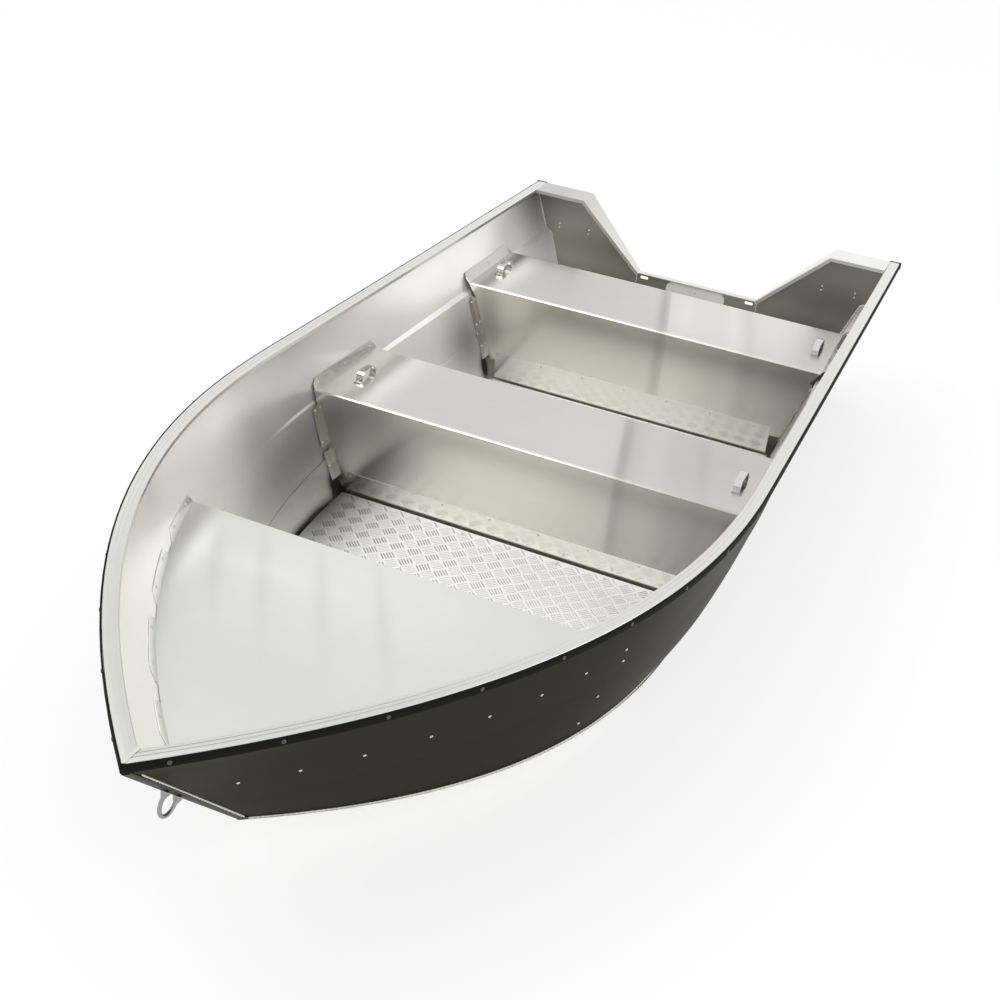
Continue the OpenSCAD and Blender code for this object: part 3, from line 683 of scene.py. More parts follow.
@dataclass(frozen=True)
class SatinSheet:
    """Rolled aluminium sheet with faint lines, smudges, soft changes of tone and patches of painted light and
    shade.
    """

    name: str
    tone: Color
    roughness: float
    grain: Grain
    patches: tuple[Patch, ...] = ()
    metallic: float = 1.0
    edge: float = 1.0
    streak: float = 0.04
    smudge: float = 0.05
    broad: float = 0.08
    relief: float = 0.05
    relief_depth: float = 0.00025
    cloud_scale: float = 2.3
    spot_scale: float = 17.0
    darkest: float = 0.03
    lightest: float = 0.99

    def material(self) -> Material:
        """Builds the sheet's material: its tone times a sum of lines, clouds, smudges and patches of painted
        light and shade.

        Returns:
            The material.
        """
        g = Graph(self.name)
        axes = g.axes()
        lines = g.noise(self.grain.value, 2.0, 0.6) - 0.5
        cloud = g.noise((self.cloud_scale,) * 3, 2.0, 0.5) - 0.5
        spots = g.noise((self.spot_scale,) * 3, 4.0, 0.62) - 0.5
        gain = 1.0 + lines * self.streak + cloud * self.broad + spots * self.smudge
        # The patches add painted light and painted shade to the gain of the base colour.
        for patch in self.patches:
            gain = gain + patch.weight(axes) * patch.gain
        gain = gain.floor(self.darkest).cap(self.lightest / max(self.tone))
        height = lines * 0.5 + spots * 0.5
        return g.close({"Base Color": g.tint(self.tone, gain), "Metallic": self.metallic,
                        "Roughness": self.roughness, "Specular Tint": (self.edge,) * 3,
                        "Normal": g.bump(height, self.relief_depth, self.relief)})


@dataclass(frozen=True)
class Rubber:
    """Black extruded rubber with a faint dusty bloom."""

    name: str
    tone: Color = (0.006, 0.006, 0.005)
    dust_scale: Vec3 = (24.0, 24.0, 24.0)
    line_scale: Vec3 = (4.0, 4.0, 420.0)
    line_depth: float = 0.0002
    sheen: float = 0.06

    def material(self) -> Material:
        """Builds the rubber's material: its tone times dust and drawn lines.

        Returns:
            The material.
        """
        g = Graph(self.name)
        dust = g.noise(self.dust_scale, 4.0, 0.6)
        lines = g.noise(self.line_scale, 2.0, 0.5)
        color = g.tint(self.tone, 0.75 + dust * 0.5 + lines * 0.4)
        return g.close({"Base Color": color, "Roughness": 0.5 + dust * 0.2,
                        "Specular IOR Level": self.sheen, "Normal": g.bump(lines, self.line_depth, 0.4)})


@dataclass(frozen=True)
class BackdropPaint:
    """Matt pale paint of the studio floor, whose own white shows through part of the shadow."""

    name: str
    tone: Color = (0.95, 0.95, 0.95)
    white: float = 0.72
    cloud_scale: Vec3 = (0.8, 0.8, 0.8)

    def material(self) -> Material:
        """Builds the floor's material: paint that is partly white to the camera and in mirrors.

        Returns:
            The material.
        """
        g = Graph(self.name)
        cloud = g.noise(self.cloud_scale, 2.0, 0.5)
        paint = g.make("ShaderNodeBsdfDiffuse", {}, {"Color": g.tint(self.tone, 0.995 + cloud * 0.01)})
        glow = g.make("ShaderNodeEmission", {}, {"Color": (1.0, 1.0, 1.0), "Strength": 1.0})
        seen = g.make("ShaderNodeLightPath", {}, {}, "Is Camera Ray")
        rays = seen.socket.node.outputs
        for word in ("Is Glossy Ray", "Is Transmission Ray"):
            seen = seen + Wire(g, rays[word])
        shown = g.make("ShaderNodeMixShader", {}, {0: seen.cap(1.0) * self.white, 1: paint, 2: glow})
        g.make("ShaderNodeOutputMaterial", {}, {"Surface": shown})
        return g.material


# Sub-assemblies.


@dataclass
class Hull:
    """Side sheets, with the rivets of deck and bulkhead and the welds of chine and stem."""

    form: HullForm
    sheet: float = 2.0
    rows: int = 150
    bands: tuple[int, int, int] = (26, 4, 10)
    bow_crowding: float = 1.25
    chine_crowding: float = 1.7
    deck_rivets: tuple[float, ...] = (2293, 2409, 2518, 2628, 2735, 2842, 2934, 3015)
    deck_rivet_height: float = 371.0
    frame_rivets: tuple[Pair, ...] = ((2264, 317), (2264, 201), (2264, 110))
    outer_head: Head = Head(0.0036, 0.0016)
    outer_seat: float = -0.05
    tab_rivets: tuple[float, ...] = (2293, 2385, 2504, 2596, 2715, 2807, 2930)
    tab_rivet_height: float = 365.0
    tab_head: Head = Head(0.0045, 0.0018)
    tab_seat: float = 4.7
    chine_bead: Bead = Bead(0.0032, 0.4, 0.011, 3)
    chine_run: Run = (0.003, 0.996, 160)
    chine_seat: float = -2.2
    chine_lift: float = 1.6
    stem_bead: Bead = Bead(0.003, 0.4, 0.012, 5)
    stem_run: Run = (0.03, 0.9, 40)
    stem_back: float = 0.0034
    stem_lean: float = 0.0006
    stem_seat: float = -0.4

    def side_sheet(self, sign: float, name: str) -> Piece:
        """One smooth side sheet: outside face, inside face and the edges between them.

        Each face is a grid over t along the boat and v up the side, closer together at the bow.
        The bands below, on and above the ledge share no points, so that its creases stay sharp.

        Args:
            sign: 1 for port and -1 for starboard.
            name: Name of the piece.

        Returns:
            The object.
        """
        form = self.form
        t = 1 - (1 - np.linspace(0, 1, self.rows)) ** self.bow_crowding
        low_z, top_z = form.ends(t, 0.0)[2:]
        level = form.ledge_level(t)
        a = ((level - low_z) / (top_z - low_z))[:, None]
        b = ((level + form.ledge_drop - low_z) / (top_z - low_z))[:, None]
        lower, ledge, upper = (np.linspace(0, 1, count) for count in self.bands)
        v = np.concatenate([a * lower**self.chine_crowding, a + (b - a) * ledge, b + (1 - b) * upper], 1)
        rows, columns = v.shape
        outer = form.metres(form.side(t[:, None], v, 0.0) * mirror(sign)).reshape(-1, 3)
        inner = form.metres(form.side(t[:, None], v, self.sheet) * mirror(sign)).reshape(-1, 3)
        port = sign > 0
        seams = (len(lower) - 1, len(lower) + len(ledge) - 1)
        apart = ~np.isin(np.tile(np.arange(columns - 1), rows - 1), seams)
        out_faces = grid_faces(rows, columns, flip=not port)[apart]
        in_faces = grid_faces(rows, columns, flip=port)[apart] + rows * columns
        across = np.array([j for j in range(columns) if j not in seams])
        edge = np.concatenate([across, np.arange(1, rows) * columns + columns - 1,
                               (rows - 1) * columns + across[-2::-1], np.arange(rows - 2, 0, -1) * columns])
        border = np.stack([outer[edge], inner[edge]], 1).reshape(-1, 3)
        j = np.arange(len(edge))
        k = (j + 1) % len(edge)
        rim = 2 * rows * columns + np.stack([2 * j, 2 * k, 2 * k + 1, 2 * j + 1], -1)
        faces = np.vstack([out_faces, in_faces, rim if port else rim[:, ::-1]])
        slots = np.concatenate([np.zeros(len(out_faces)), np.ones(len(in_faces) + len(edge))])
        return add_mesh(name, np.vstack([outer, inner, border]), faces, True, slots)

    def beads(self, sign: float, word: str, weld: Material) -> list[Piece]:
        """Weld beads along the chine and the edge of the stem strip, on lines of the side's surface.

        Args:
            sign: 1 for port and -1 for starboard.
            word: Last word of the pieces' names.
            weld: Finish of the beads.

        Returns:
            The two beads.
        """
        form = self.form
        t = np.linspace(*self.chine_run)
        path = form.side(t, np.zeros(len(t)), self.chine_seat)
        path[:, 2] += self.chine_lift
        chine = self.chine_bead.build(f"chine_bead_{word}", form.metres(path * mirror(sign)))
        v = np.linspace(*self.stem_run)
        path = form.side(1 - self.stem_back - self.stem_lean * v, v, self.stem_seat)
        stem = self.stem_bead.build(f"stem_bead_{word}", form.metres(path * mirror(sign)))
        return [dress(piece, FITTING, weld) for piece in (chine, stem)]

    def rivets(self, sign: float, word: str, bright: Material) -> list[Piece]:
        """Rivets of deck and bulkhead outside, and of the deck's tabs inside.

        Args:
            sign: 1 for port and -1 for starboard.
            word: Last word of the pieces' names.
            bright: Finish of the rivets.

        Returns:
            The two groups of rivets.
        """
        places = [(x, self.deck_rivet_height) for x in self.deck_rivets] + list(self.frame_rivets)
        x, z = np.array(places, float).T
        p, n = self.form.seat(x, z, self.outer_seat, sign, True)
        heads = self.outer_head.build(f"hull_rivets_{word}", self.form.metres(p), n)
        x = np.array(self.tab_rivets, float)
        p, n = self.form.seat(x, np.full(len(x), self.tab_rivet_height), self.tab_seat, sign, False)
        tabs = self.tab_head.build(f"deck_rivets_{word}", self.form.metres(p), n)
        return [dress(piece, FITTING, bright) for piece in (heads, tabs)]

    def build(self, finish: Palette) -> list[Piece]:
        """Builds the sheets, rivets and beads.

        Args:
            finish: The materials.

        Returns:
            The new pieces.
        """
        pieces = []
        for sign, word in SIDES:
            side = self.side_sheet(sign, f"side_sheet_{word}")
            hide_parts(f"side_{word}")
            pieces.append(dress(side, "hull_sheet", finish["outside"], finish["inside"]))
            pieces += self.rivets(sign, word, finish["rivet"])
            pieces += self.beads(sign, word, finish["weld"])
        return pieces


@dataclass
class Bench:
    """Rivets of one bench: on its top tabs, face flanges, upstand and loops."""

    form: HullForm
    word: str
    start: float
    height: float
    upstand: float
    lean: float
    loop_x: float
    loop_half: float
    row_half: float
    floor: float = 34.0
    depth: float = 330.0
    lap: float = 28.0
    head: Head = Head(0.0035, 0.0016)
    tab_margin: float = 26.0
    tab_top: float = 24.0
    tab_run: float = 25.0
    tab_probes: Pair = (9.0, 17.0)
    tab_seat: float = 5.1
    notch_part: float = 0.34
    notch_gap: float = 2.0
    slit: float = 42.0
    flange_middle: float = 13.0
    flange_margins: Pair = (20.0, 16.0)
    flange_seat: float = 5.2
    foot_drop: float = 4.0
    foot_seat: float = 8.5
    loop_foot: float = 47.0
    loop_rise: float = 3.3
    row_pitch: float = 145.0
    row_end: float = 10.0
    row_drop: float = 8.0
    row_seat: float = 2.3

    def tab_seats(self, sign: float) -> tuple[Array, Array]:
        """Seats on the leaning top tab, whose slope comes from two heights close together.

        Args:
            sign: 1 for port and -1 for starboard.

        Returns:
            Points and unit normals.
        """
        x = self.start + np.array([self.tab_margin, 0.5 * self.depth, self.depth - self.tab_margin])
        rows = []
        for rise in self.tab_probes:
            t, v = self.form.at(x, np.full(3, self.height + rise), self.tab_seat)
            p = self.form.side(t, v, self.tab_seat)
            p[:, 1] -= self.lean * (self.tab_top - rise) / self.tab_run
            rows.append(p)
        n = unit(np.cross(np.array([1.0, 0.0, 0.0]), rows[1] - rows[0]))
        n = n * -np.sign(n[:, 1:2])
        return (rows[0] + rows[1]) / 2 * mirror(sign), n * mirror(sign)

    def flange_seats(self, sign: float) -> list[tuple[Array, Array]]:
        """Seats on the flanges at one end of the face: two above the bilge strip and one on it.

        Args:
            sign: 1 for port and -1 for starboard.

        Returns:
            Points and unit normals of each flange.
        """
        low = self.floor + self.upstand - self.lap
        notch = low + (self.height - low) * self.notch_part
        notch = max(notch, self.form.lap_level(self.start) + self.notch_gap)
        above, below = self.flange_margins
        upper = np.array([notch + above, self.height - self.slit - below])
        lower = np.array([(low + notch) / 2 - self.foot_drop])
        x = self.start + self.depth + self.flange_middle
        return [self.form.seat(np.full(len(z), x), z, inset, sign, False)
                for z, inset in ((upper, self.flange_seat), (lower, self.foot_seat))]

    def build(self, finish: Palette) -> list[Piece]:
        """Builds the rivets.

        Args:
            finish: The materials.

        Returns:
            The new piece, in a list.
        """
        seats = []
        for sign, _ in SIDES:
            seats.append(self.tab_seats(sign))
            seats += self.flange_seats(sign)
            feet = np.array([[self.loop_x + k * self.loop_foot, sign * self.loop_half,
                              self.height + self.loop_rise] for k in (-1, 1)])
            seats.append((feet, np.tile([[0.0, 0.0, 1.0]], (len(feet), 1))))
        y = np.arange(-self.row_half, self.row_half + self.row_end, self.row_pitch)
        x = np.full(len(y), self.start + self.depth + self.row_seat)
        z = np.full(len(y), self.floor + self.upstand - self.row_drop)
        seats.append((np.stack([x, y, z], -1), np.tile([[1.0, 0.0, 0.0]], (len(y), 1))))
        places, normals = (np.vstack(part) for part in zip(*seats))
        heads = self.head.build(f"bench_rivets_{self.word}", self.form.metres(places), normals)
        return [dress(heads, FITTING, finish["rivet"])]


@dataclass
class Stern:
    """Weld beads and rivets of the transom. Rivets are given by half width and height."""

    form: HullForm
    rivets: tuple[Pair, ...] = ((542, 339), (542, 353), (428, 339), (428, 353))
    rivet_seat: float = 0.05
    pad_rivet: Pair = (0.0, 226.0)
    pad_seat: float = 5.35
    head: Head = Head(0.0038, 0.0016)
    corner_bead: Bead = Bead(0.0042, 0.35, 0.010, 7)
    corner_run: Run = (0.05, 0.955, 60)
    corner_t: float = 0.0008
    corner_seat: float = 4.2
    notch_bead: Bead = Bead(0.003, 0.3, 0.008, 9)
    notch_run: Run = (150, 245, 8)
    notch_half: float = 222.0
    notch_seat: float = 0.5

    def on_plate(self, y: Array, z: Array, off: Array | float) -> Array:
        """Points off the leaning transom's inner face."""
        x = self.form.rake_x(z) + off * math.cos(self.form.rake)
        return np.stack([x, y, z + off * math.sin(self.form.rake)], -1)

    def build(self, finish: Palette) -> list[Piece]:
        """Builds rivets, corner beads and short beads beside the notch.

        Args:
            finish: The materials.

        Returns:
            The new pieces.
        """
        form = self.form
        y, z = np.array([(s * y, z) for s in (1, -1) for y, z in self.rivets] + [self.pad_rivet], float).T
        off = np.append(np.full(len(y) - 1, self.rivet_seat), self.pad_seat)
        lean = np.tile([[math.cos(form.rake), 0.0, math.sin(form.rake)]], (len(y), 1))
        heads = self.head.build("transom_rivets", form.metres(self.on_plate(y, z, off)), lean)
        pieces = [dress(heads, FITTING, finish["fitting"])]
        for sign, word in SIDES:
            v = np.linspace(*self.corner_run)
            path = form.side(np.full(len(v), self.corner_t), v, self.corner_seat) * mirror(sign)
            corner = self.corner_bead.build(f"corner_bead_{word}", form.metres(path))
            z = np.linspace(*self.notch_run)
            path = self.on_plate(np.full(len(z), sign * self.notch_half), z, self.notch_seat)
            short = self.notch_bead.build(f"notch_bead_{word}", form.metres(path))
            pieces += [dress(piece, FITTING, finish["weld"]) for piece in (corner, short)]
        return pieces


@dataclass
class Rim:
    """Screws along the rub rails."""

    form: HullForm
    first: float = 3174.0
    last: float = 40.0
    samples: int = 3000
    spacing: float = 190.0
    drop: float = 10.0
    sink: float = 0.4
    head: Head = Head(0.0046, 0.0016, 0.5)

    def build(self, finish: Palette) -> list[Piece]:
        """Builds the screw heads of both rails, set out by length along the rim.

        Args:
            finish: The materials.

        Returns:
            The new pieces.
        """
        form = self.form
        x = np.linspace(self.first, self.last, self.samples)
        y = form.rim(x, -form.rail)
        run = np.concatenate([[0], np.cumsum(np.hypot(np.diff(x), np.diff(y)))])
        s = np.arange(0.0, run[-1], self.spacing)
        px = np.interp(s, run, x)
        py = np.interp(s, run, y)
        slope = (form.rim(px + 1, -form.rail) - form.rim(px - 1, -form.rail)) / 2
        n = unit(np.stack([-slope, np.ones_like(px), np.zeros_like(px)], -1))
        p = np.stack([px, py, form.sheer(px) - self.drop], -1) - n * self.sink
        return [dress(self.head.build(f"rail_screws_{word}", form.metres(p * mirror(sign)), n * mirror(sign)),
                      FITTING, finish["steel"]) for sign, word in SIDES]


@dataclass
class TreadFloor:
    """Raised five-bar tread on the three floor panels."""

    form: HullForm
    spans: tuple[tuple[str, float, float], ...] = (("aft", 110, 351), ("middle", 699, 1237),
                                                   ("forward", 1585, 1960))
    pitch: float = 53.0
    lattice: int = 24
    group: int = 5
    bar_length: float = 32.0
    bar_width: float = 4.2
    bar_pitch: float = 7.4
    bar_height: float = 1.5
    bar_room: float = 0.75
    bar_ends: float = 0.7
    bar_crest: float = 0.8
    bar_foot: float = -0.05
    top: float = 34.0
    panel: float = 3.0
    panel_seat: float = 7.7
    panel_edge: float = 10.0
    rivet_head: Head = Head(0.0048, 0.0016, 0.5)
    rivet_edge: float = 16.0
    rivet_pitch: float = 140.0
    rivet_reach: int = 3
    rivet_lift: float = 0.6

    def bar(self) -> tuple[Array, Array]:
        """One bar: a low roof over a pointed foot.

        Returns:
            Points as parts of half length, half width and height, and triangles as point numbers.
        """
        e, c, f = self.bar_ends, self.bar_crest, self.bar_foot
        points = np.array([(-1, 0, f), (-e, -1, f), (e, -1, f), (1, 0, f), (e, 1, f), (-e, 1, f),
                           (-c, 0, 1), (c, 0, 1)])
        faces = np.array([(0, 1, 6), (1, 2, 7), (1, 7, 6), (2, 3, 7), (3, 4, 7), (4, 5, 6), (4, 6, 7),
                          (5, 0, 6)])
        return points, faces

    def bars(self, name: str, first: float, last: float) -> Piece:
        """Bars of one panel: groups of five on a square lattice, turned by turns to either diagonal.

        Args:
            name: Name of the piece.
            first: Distance of the panel's rear edge.
            last: Distance of the panel's front edge.

        Returns:
            The object.
        """
        half = self.pitch / 2
        i = np.arange(math.ceil(first / half) - 1, math.floor(last / half) + 2)
        j = np.arange(-self.lattice, self.lattice + 1)
        gi, gj = np.meshgrid(i, j, indexing="ij")
        keep = (gi + gj) % 2 == 0
        gi, gj = gi[keep], gj[keep]
        kind = np.where(gi % 2 == 0, 1.0, -1.0)
        shift = (np.arange(self.group) - self.group // 2) * self.bar_pitch
        d = np.stack([np.ones_like(kind), kind], -1) / math.sqrt(2)
        c = np.stack([-d[:, 1], d[:, 0]], -1)
        center = np.stack([gi * half, gj * half], -1)[:, None, :] + shift[None, :, None] * c[:, None, :]
        center = center.reshape(-1, 2)
        d, c = np.repeat(d, self.group, 0), np.repeat(c, self.group, 0)
        reach = self.bar_length / 2
        room = reach * self.bar_room
        t, v = self.form.at(center[:, 0], np.full(len(center), self.top - self.panel), self.panel_seat)
        edge = self.form.side(t, v, self.panel_seat)[:, 1] - self.panel_edge - room
        inside = (center[:, 0] > first + room) & (center[:, 0] < last - room)
        inside &= np.abs(center[:, 1]) < edge
        center, d, c = center[inside], d[inside], c[inside]
        outline, one = self.bar()
        along = (outline[:, 0] * reach)[None, :, None] * d[:, None, :]
        side = (outline[:, 1] * self.bar_width / 2)[None, :, None] * c[:, None, :]
        flat = center[:, None, :] + along + side
        z = np.broadcast_to(self.top + outline[:, 2] * self.bar_height, flat.shape[:2])
        points = np.concatenate([flat, z[..., None]], -1).reshape(-1, 3)
        faces = (one[None] + (np.arange(len(center)) * len(outline))[:, None, None]).reshape(-1, 3)
        return add_mesh(name, self.form.metres(points), faces, False)

    def rivets(self, name: str, first: float, last: float) -> Piece:
        """Rivets along the front and rear edges of one panel.

        Args:
            name: Name of the piece.
            first: Distance of the panel's rear edge.
            last: Distance of the panel's front edge.

        Returns:
            The object.
        """
        y = np.arange(-self.rivet_reach, self.rivet_reach + 1) * self.rivet_pitch
        x = np.repeat([first + self.rivet_edge, last - self.rivet_edge], len(y))
        places = np.stack([x, np.tile(y, 2), np.full(len(x), self.top + self.rivet_lift)], -1)
        up = np.tile([[0.0, 0.0, 1.0]], (len(places), 1))
        return self.rivet_head.build(name, self.form.metres(places), up)

    def build(self, finish: Palette) -> list[Piece]:
        """Builds the bars and rivets of the three panels.

        Args:
            finish: The materials.

        Returns:
            The new pieces.
        """
        pieces = []
        for word, first, last in self.spans:
            bars = self.bars(f"tread_bars_{word}", first, last)
            pieces.append(dress(bars, "tread_plate", finish["bars"]))
            heads = self.rivets(f"floor_rivets_{word}", first, last)
            pieces.append(dress(heads, FITTING, finish["rivet"]))
        return pieces


@dataclass(frozen=True)
class Lamp:
    """Soft rectangular lamp that looks at a point, in metres and watts."""

    name: str
    place: Vec3
    aim: Vec3
    size: Pair
    power: float

    def build(self) -> None:
        """Adds the lamp to the scene."""
        data = bpy.data.lights.new(self.name, "AREA")
        data.shape = "RECTANGLE"
        data.size, data.size_y = self.size
        data.energy = self.power
        lamp = bpy.data.objects.new(self.name, data)
        lamp.location = self.place
        lamp.rotation_euler = (Vector(self.aim) - Vector(self.place)).to_track_quat("-Z", "Y").to_euler()
        bpy.context.scene.collection.objects.link(lamp)


@dataclass
class Studio:
    """Pale floor, soft light and the camera, whose focal length and centre are in pixels of its frame."""

    eye: Vec3 = (2.971048, 1.152680, 2.139117)
    yaw: float = 0.3707841
    pitch: float = 0.5532834
    roll: float = 0.0986105
    focal: float = 1402.872
    center: Pair = (512.775, 505.533)
    frame: float = 1000.0
    sensor: float = 36.0
    sight: float = 100.0
    world: float = 1.0
    floor_half: float = 30.0
    floor_level: float = -0.001
    lamps: tuple[Lamp, ...] = (Lamp("key", (1.0, -2.5, 4.5), (0.0, 0.0, 0.3), (3.0, 2.0), 60.0),
                               Lamp("fill", (0.0, 4.0, 1.8), (0.0, -0.6, 0.4), (3.0, 2.0), 25.0))

    def camera(self) -> None:
        """Camera at the photograph's place."""
        level = math.cos(self.pitch)
        ahead = np.array([-math.cos(self.yaw) * level, -math.sin(self.yaw) * level, -math.sin(self.pitch)])
        right = unit(np.cross(ahead, [0, 0, 1]))
        up = np.cross(right, ahead)
        r = math.cos(self.roll) * right + math.sin(self.roll) * up
        u = -math.sin(self.roll) * right + math.cos(self.roll) * up
        data = bpy.data.cameras.new("camera")
        data.sensor_fit = "HORIZONTAL"
        data.sensor_width = self.sensor
        data.lens = self.sensor * self.focal / self.frame
        data.shift_x = (self.frame / 2 - self.center[0]) / self.frame
        data.shift_y = (self.center[1] - self.frame / 2) / self.frame
        data.clip_end = self.sight
        camera = bpy.data.objects.new("camera", data)
        turn = Matrix((Vector(r), Vector(u), Vector(-ahead))).transposed()
        camera.matrix_world = Matrix.Translation(self.eye) @ turn.to_4x4()
        bpy.context.scene.collection.objects.link(camera)
        bpy.context.scene.camera = camera

    def build(self, paint: Material) -> None:
        """Builds floor, world, lamps and camera.

        Args:
            paint: Finish of the floor.
        """
        s, z = self.floor_half, self.floor_level
        mesh = bpy.data.meshes.new("studio_floor")
        mesh.from_pydata([(-s, -s, z), (s, -s, z), (s, s, z), (-s, s, z)], [], [(0, 1, 2, 3)])
        floor = bpy.data.objects.new("studio_floor", mesh)
        bpy.context.scene.collection.objects.link(floor)
        floor.data.materials.append(paint)
        world = bpy.data.worlds.new("studio")
        world.use_nodes = True
        shade = world.node_tree.nodes["Background"]
        shade.inputs["Color"].default_value = (1.0, 1.0, 1.0, 1.0)
        shade.inputs["Strength"].default_value = self.world
        bpy.context.scene.world = world
        for lamp in self.lamps:
            lamp.build()
        self.camera()


@dataclass
class Finishes:
    """The finishes of the boat, with the soft lights and shades that lie on its sheets.

    Patches are listed as rows of place, size, gain and, where they matter, turn and edge.
    Places and sizes are in millimetres, with x from the transom.
    """

    form: HullForm
    fore_face: float = 1573.0
    aft_face: float = 687.0
    skin: float = 8.0
    band: float = 330.0
    fore_turn: float = 0.26
    aft_turn: float = 0.28
    deck_lines: tuple[float, ...] = (-375.0, -252.0, -105.0, 45.0)
    deck_turn: float = 0.55

    def sheet(self, name: str, tone: Color, roughness: float, grain: Grain = Grain.ACROSS,
              rows: Rows | None = None, **more: float) -> Material:
        """Builds a satin sheet.

        Args:
            name: Name of the material.
            tone: Base colour.
            roughness: Roughness, the same everywhere.
            grain: Direction of the rolling lines.
            rows: Patches of painted light and shade, as rows.
            more: Other fields of the sheet.

        Returns:
            The material.
        """
        patches = tuple(Patch(tuple(self.form.metres(place)), tuple(v / 1000 for v in size), *rest)
                        for place, size, *rest in rows or [])
        return SatinSheet(name, tone, roughness, grain, patches, **more).material()

    def bench_tops(self) -> Rows:
        """Bands of light across the bench tops, each with a sharp dark line at its starboard edge.

        Returns:
            Rows of patches.
        """
        fore, aft = self.fore_turn, self.aft_turn
        bands = [(1420, -505, 60, 0.50), (1420, 120, 160, 0.03), (1420, 216, 8, -0.12, fore, True),
                 (1420, 232, 18, -0.20, fore), (1420, 317, 40, 0.08, fore), (1420, 450, 22, -0.05, fore),
                 (520, -330, 260, -0.10), (520, 48, 8, 0.16, aft, True), (520, 30, 18, -0.28, aft),
                 (520, 105, 30, 0.06, aft), (520, 263, 24, 0.08, aft), (520, 315, 24, -0.10, aft)]
        rows = [((x, y, 0), (self.band, wide, FAR), *rest) for x, y, wide, *rest in bands]
        return rows + [((540, -505, 0), (200, 50, FAR), 0.50), ((450, 545, 0), (200, 70, FAR), -0.40)]

    def bench_faces(self) -> Rows:
        """Shades on the two forward faces, which are brighter than the tops.

        Returns:
            Rows of patches.
        """
        fore, aft = self.fore_face, self.aft_face
        shades = [(fore, 0, 0, FAR, FAR, 0.34), (aft, 0, 0, FAR, FAR, 0.38),
                  (fore, -560, 0, 150, FAR, -0.40), (fore, 600, 0, 430, FAR, -0.66),
                  (fore, 0, 330, FAR, 40, 0.25), (aft, 580, 0, 420, FAR, -0.52),
                  (aft, -60, 130, 330, 60, 0.08), (aft, -460, 330, 120, 80, 0.60),
                  (aft, 100, 345, FAR, 40, 0.22), (aft, -540, 150, 120, 90, -0.35)]
        return [((x, y, z), (self.skin, wide, high), gain) for x, y, z, wide, high, gain in shades]

    def benches(self) -> Material:
        """Bench sheet, which mirrors the floor in its faces, with painted light and shade on its tops and
        faces.
        """
        rows = self.bench_tops() + self.bench_faces()
        return self.sheet("bench_sheet", (0.625, 0.612, 0.57), 0.20, rows=rows)

    def upstands(self) -> Material:
        """Upstand sheet, with painted shade toward its ends."""
        rows = [((1575, -560, 0), (200, 150, FAR), -0.6),
                ((689, -520, 0), (200, 130, FAR), -0.4),
                ((689, 480, 0), (200, 300, FAR), -0.2)]
        return self.sheet("upstand_sheet", (0.95, 0.93, 0.88), 0.17, rows=rows, metallic=0.9)

    def decks(self) -> Material:
        """Deck sheet with painted highlights on its tabs, lip and aft edge, and soft painted bands of light
        and shade across it.

        Returns:
            The material.
        """
        rows = [((2330, -60, 0), (240, 420, FAR), 0.14),
                ((2620, 0, 374), (FAR, FAR, 14), 0.45),
                ((2405, -280, 0), (32, 190, FAR), 0.05),
                ((2250, 0, 0), (4, FAR, FAR), 0.40),
                ((2405, -437, 0), (170, 32, FAR), 0.30, 0.23)]
        rows += [((2420, y, 0), (200, 17, FAR), -0.09, self.deck_turn) for y in self.deck_lines]
        return self.sheet("deck_sheet", (0.67, 0.675, 0.645), 0.30, rows=rows)

    def insides(self) -> Material:
        """Inside of the hull: bright aft, with painted shade by the transom, between the benches and by the
        deck, a painted highlight along the ledge, and painted black shade in the gaps at the forward floor's
        edge and at the upstands' ends.

        Returns:
            The material.
        """
        shades = [(70, 420, 150, 140, -0.6), (1680, 430, 230, 140, -0.30), (1720, 190, 380, 150, -0.74),
                  (770, 190, 130, 130, -0.6), (2130, 450, 110, 70, 0.12), (1880, 350, 90, 90, -0.12),
                  (2430, 470, 60, 40, -0.12), (1670, 290, 90, 4, 0.70), (1780, 28, 230, 14, -1.00),
                  (1588, 52, 26, 34, -1.20), (702, 70, 22, 40, -1.20)]
        rows = [((x, 0, z), (long, FAR, high), gain) for x, z, long, high, gain in shades]
        return self.sheet("inside_sheet", (0.985, 0.975, 0.935), 0.26, Grain.FORE_AND_AFT, rows,
                          broad=0.12, metallic=0.5)

    def outsides(self) -> Material:
        """Outside of the hull, which is dark, with painted light toward the shoulder and the stem."""
        rows = [((1950, 0, 380), (260, FAR, 260), 0.45), ((3120, 0, 330), (90, FAR, 260), 0.5)]
        return self.sheet("outside_sheet", (0.066, 0.063, 0.051), 0.36, Grain.FORE_AND_AFT, rows, edge=0.4)

    def treads(self, name: str, tone: Color, metallic: float) -> Material:
        """Tread plate or its bars, with painted shade toward starboard and on the middle panel."""
        rows = [((1690, -570, 0), (300, 150, FAR), -0.98),
                ((960, 0, 0), (330, FAR, FAR), -0.12),
                ((1000, 520, 0), (330, 300, FAR), -0.25)]
        return self.sheet(name, tone, 0.30, rows=rows, metallic=metallic)

    def gunwales(self) -> Material:
        """Gunwale extrusion, with painted light aft and painted shade at the bow."""
        rows = [((3150, 0, 0), (500, FAR, FAR), -0.14), ((250, 0, 0), (700, FAR, FAR), 0.10)]
        return self.sheet("gunwale_alloy", (0.73, 0.73, 0.70), 0.32, Grain.FORE_AND_AFT, rows)

    def caps(self) -> Material:
        """Cap along the transom, with painted shade on the starboard ear and painted light on the port ear.
        """
        rows = [((0, -560, 0), (FAR, 170, FAR), -0.28), ((0, 520, 0), (FAR, 150, FAR), 0.14)]
        return self.sheet("cap_alloy", (0.76, 0.76, 0.72), 0.34, rows=rows, metallic=0.7)

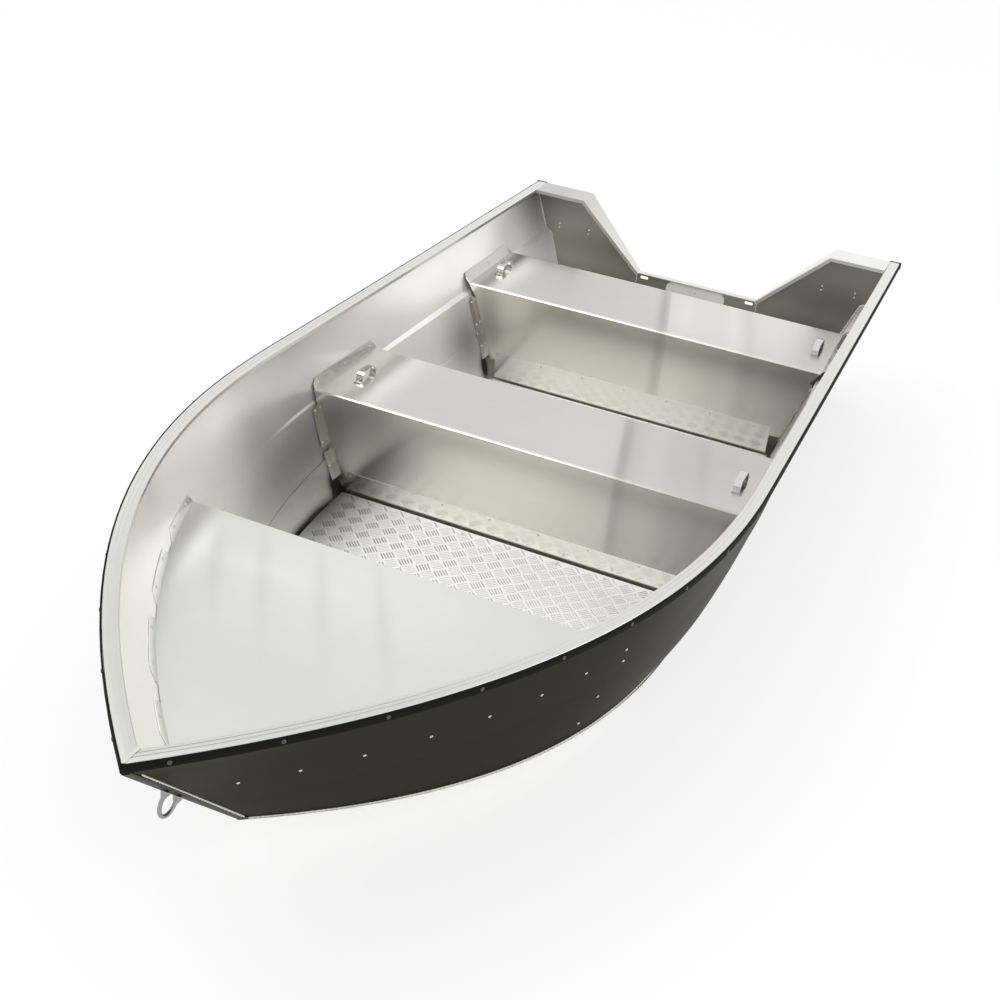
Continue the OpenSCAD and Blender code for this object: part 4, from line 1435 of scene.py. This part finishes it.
    def transoms(self) -> Material:
        """Transom sheet, with painted shade to port and at the starboard top, and painted light in a band at
        mid height.
        """
        rows = [((40, 480, 350), (200, 260, FAR), -0.3),
                ((20, -540, 440), (200, 160, 60), -0.3),
                ((40, 0, 245), (200, FAR, 40), 0.3)]
        return self.sheet("transom_sheet", (0.33, 0.32, 0.28), 0.30, rows=rows, metallic=0.7)

    def build(self) -> Palette:
        """Builds every finish.

        Returns:
            The materials by their short names.
        """
        along = Grain.FORE_AND_AFT
        return {
            "inside": self.insides(),
            "outside": self.outsides(),
            "bench": self.benches(),
            "upstand": self.upstands(),
            "deck": self.decks(),
            "transom": self.transoms(),
            "pad": self.sheet("pad_sheet", (0.96, 0.955, 0.91), 0.36, metallic=0.4),
            "gunwale": self.gunwales(),
            "cap": self.caps(),
            "fitting": self.sheet("fitting_alloy", (0.66, 0.66, 0.64), 0.16),
            "rivet": self.sheet("rivet_alloy", (0.62, 0.615, 0.59), 0.38, metallic=0.7),
            "weld": self.sheet("weld_alloy", (0.62, 0.61, 0.57), 0.42, smudge=0.6, metallic=0.7),
            "steel": self.sheet("screw_steel", (0.10, 0.10, 0.095), 0.4),
            "eye": self.sheet("eye_alloy", (0.34, 0.34, 0.32), 0.36),
            "strip": self.sheet("stem_alloy", (0.11, 0.108, 0.10), 0.4, along, edge=0.6),
            "runner": self.sheet("runner_alloy", (0.18, 0.178, 0.165), 0.42, along),
            "tread": self.treads("tread_plate", (0.985, 0.98, 0.955), 0.2),
            "bars": self.treads("tread_bars", (0.70, 0.69, 0.655), 0.7),
            "rubber": Rubber("rail_rubber").material(),
            "plug": Rubber("plug_rubber", (0.02, 0.02, 0.02)).material(),
        }


# The finish of each solid, by the words that its name starts with.
FINISH_OF = {
    "bench": "bench", "deck_bulkhead": "bench", "upstand": "upstand", "bow_deck": "deck",
    "transom": "transom", "transom_cap": "cap", "transom_handles": "fitting", "loops": "fitting",
    # The outer motor pad takes the darker gunwale finish as painted shade, so that its face open to the sky
    # renders darker than the pale pad finish.
    "gunwale": "gunwale", "bow_joint": "gunwale", "motor_pad": "pad", "motor_pad_outer": "gunwale",
    "rub_rail": "rubber", "rail_ends": "rubber", "drain_plug": "plug", "bow_eye": "eye",
    "stem": "strip", "bottom_runners": "runner", "floor_bearers": "runner",
    "bottom": "inside", "bilge": "inside", "side": "inside", "floor": "tread",
}


def paint_nodes(nodes: dict[str, Piece], finish: Palette) -> None:
    """Gives each solid of the frame its finish, by the longest words that fit its name.

    Args:
        nodes: The frame's solids by name.
        finish: The materials.
    """
    for name, piece in nodes.items():
        word = FINISH_OF[max((w for w in FINISH_OF if name.startswith(w)), key=len)]
        piece.data.materials.clear()
        piece.data.materials.append(finish[word])
        LOG.info("finish %s on %s", word, name)


def main() -> None:
    """Loads the frame, gives its solids their finishes, builds the pieces and sets up the studio."""
    logging.basicConfig(level=logging.INFO)
    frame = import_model()
    bpy.context.scene.view_settings.view_transform = "Standard"
    form = HullForm()
    finish = Finishes(form).build()
    paint_nodes(frame["nodes"], finish)
    forward = Bench(form, "forward", start=1242.85, height=327.0, upstand=62.0, lean=5.0,
                    loop_x=1421.85, loop_half=553.0, row_half=510.0)
    aft = Bench(form, "aft", start=356.9, height=345.0, upstand=94.0, lean=14.0,
                loop_x=518.9, loop_half=535.0, row_half=450.0)
    for group in (Hull(form), TreadFloor(form), forward, aft, Stern(form), Rim(form)):
        for piece in group.build(finish):
            LOG.info("piece %s with %d faces", piece.name, len(piece.data.polygons))
    Studio().build(BackdropPaint("floor_paint").material())


if __name__ == "__main__":
    main()
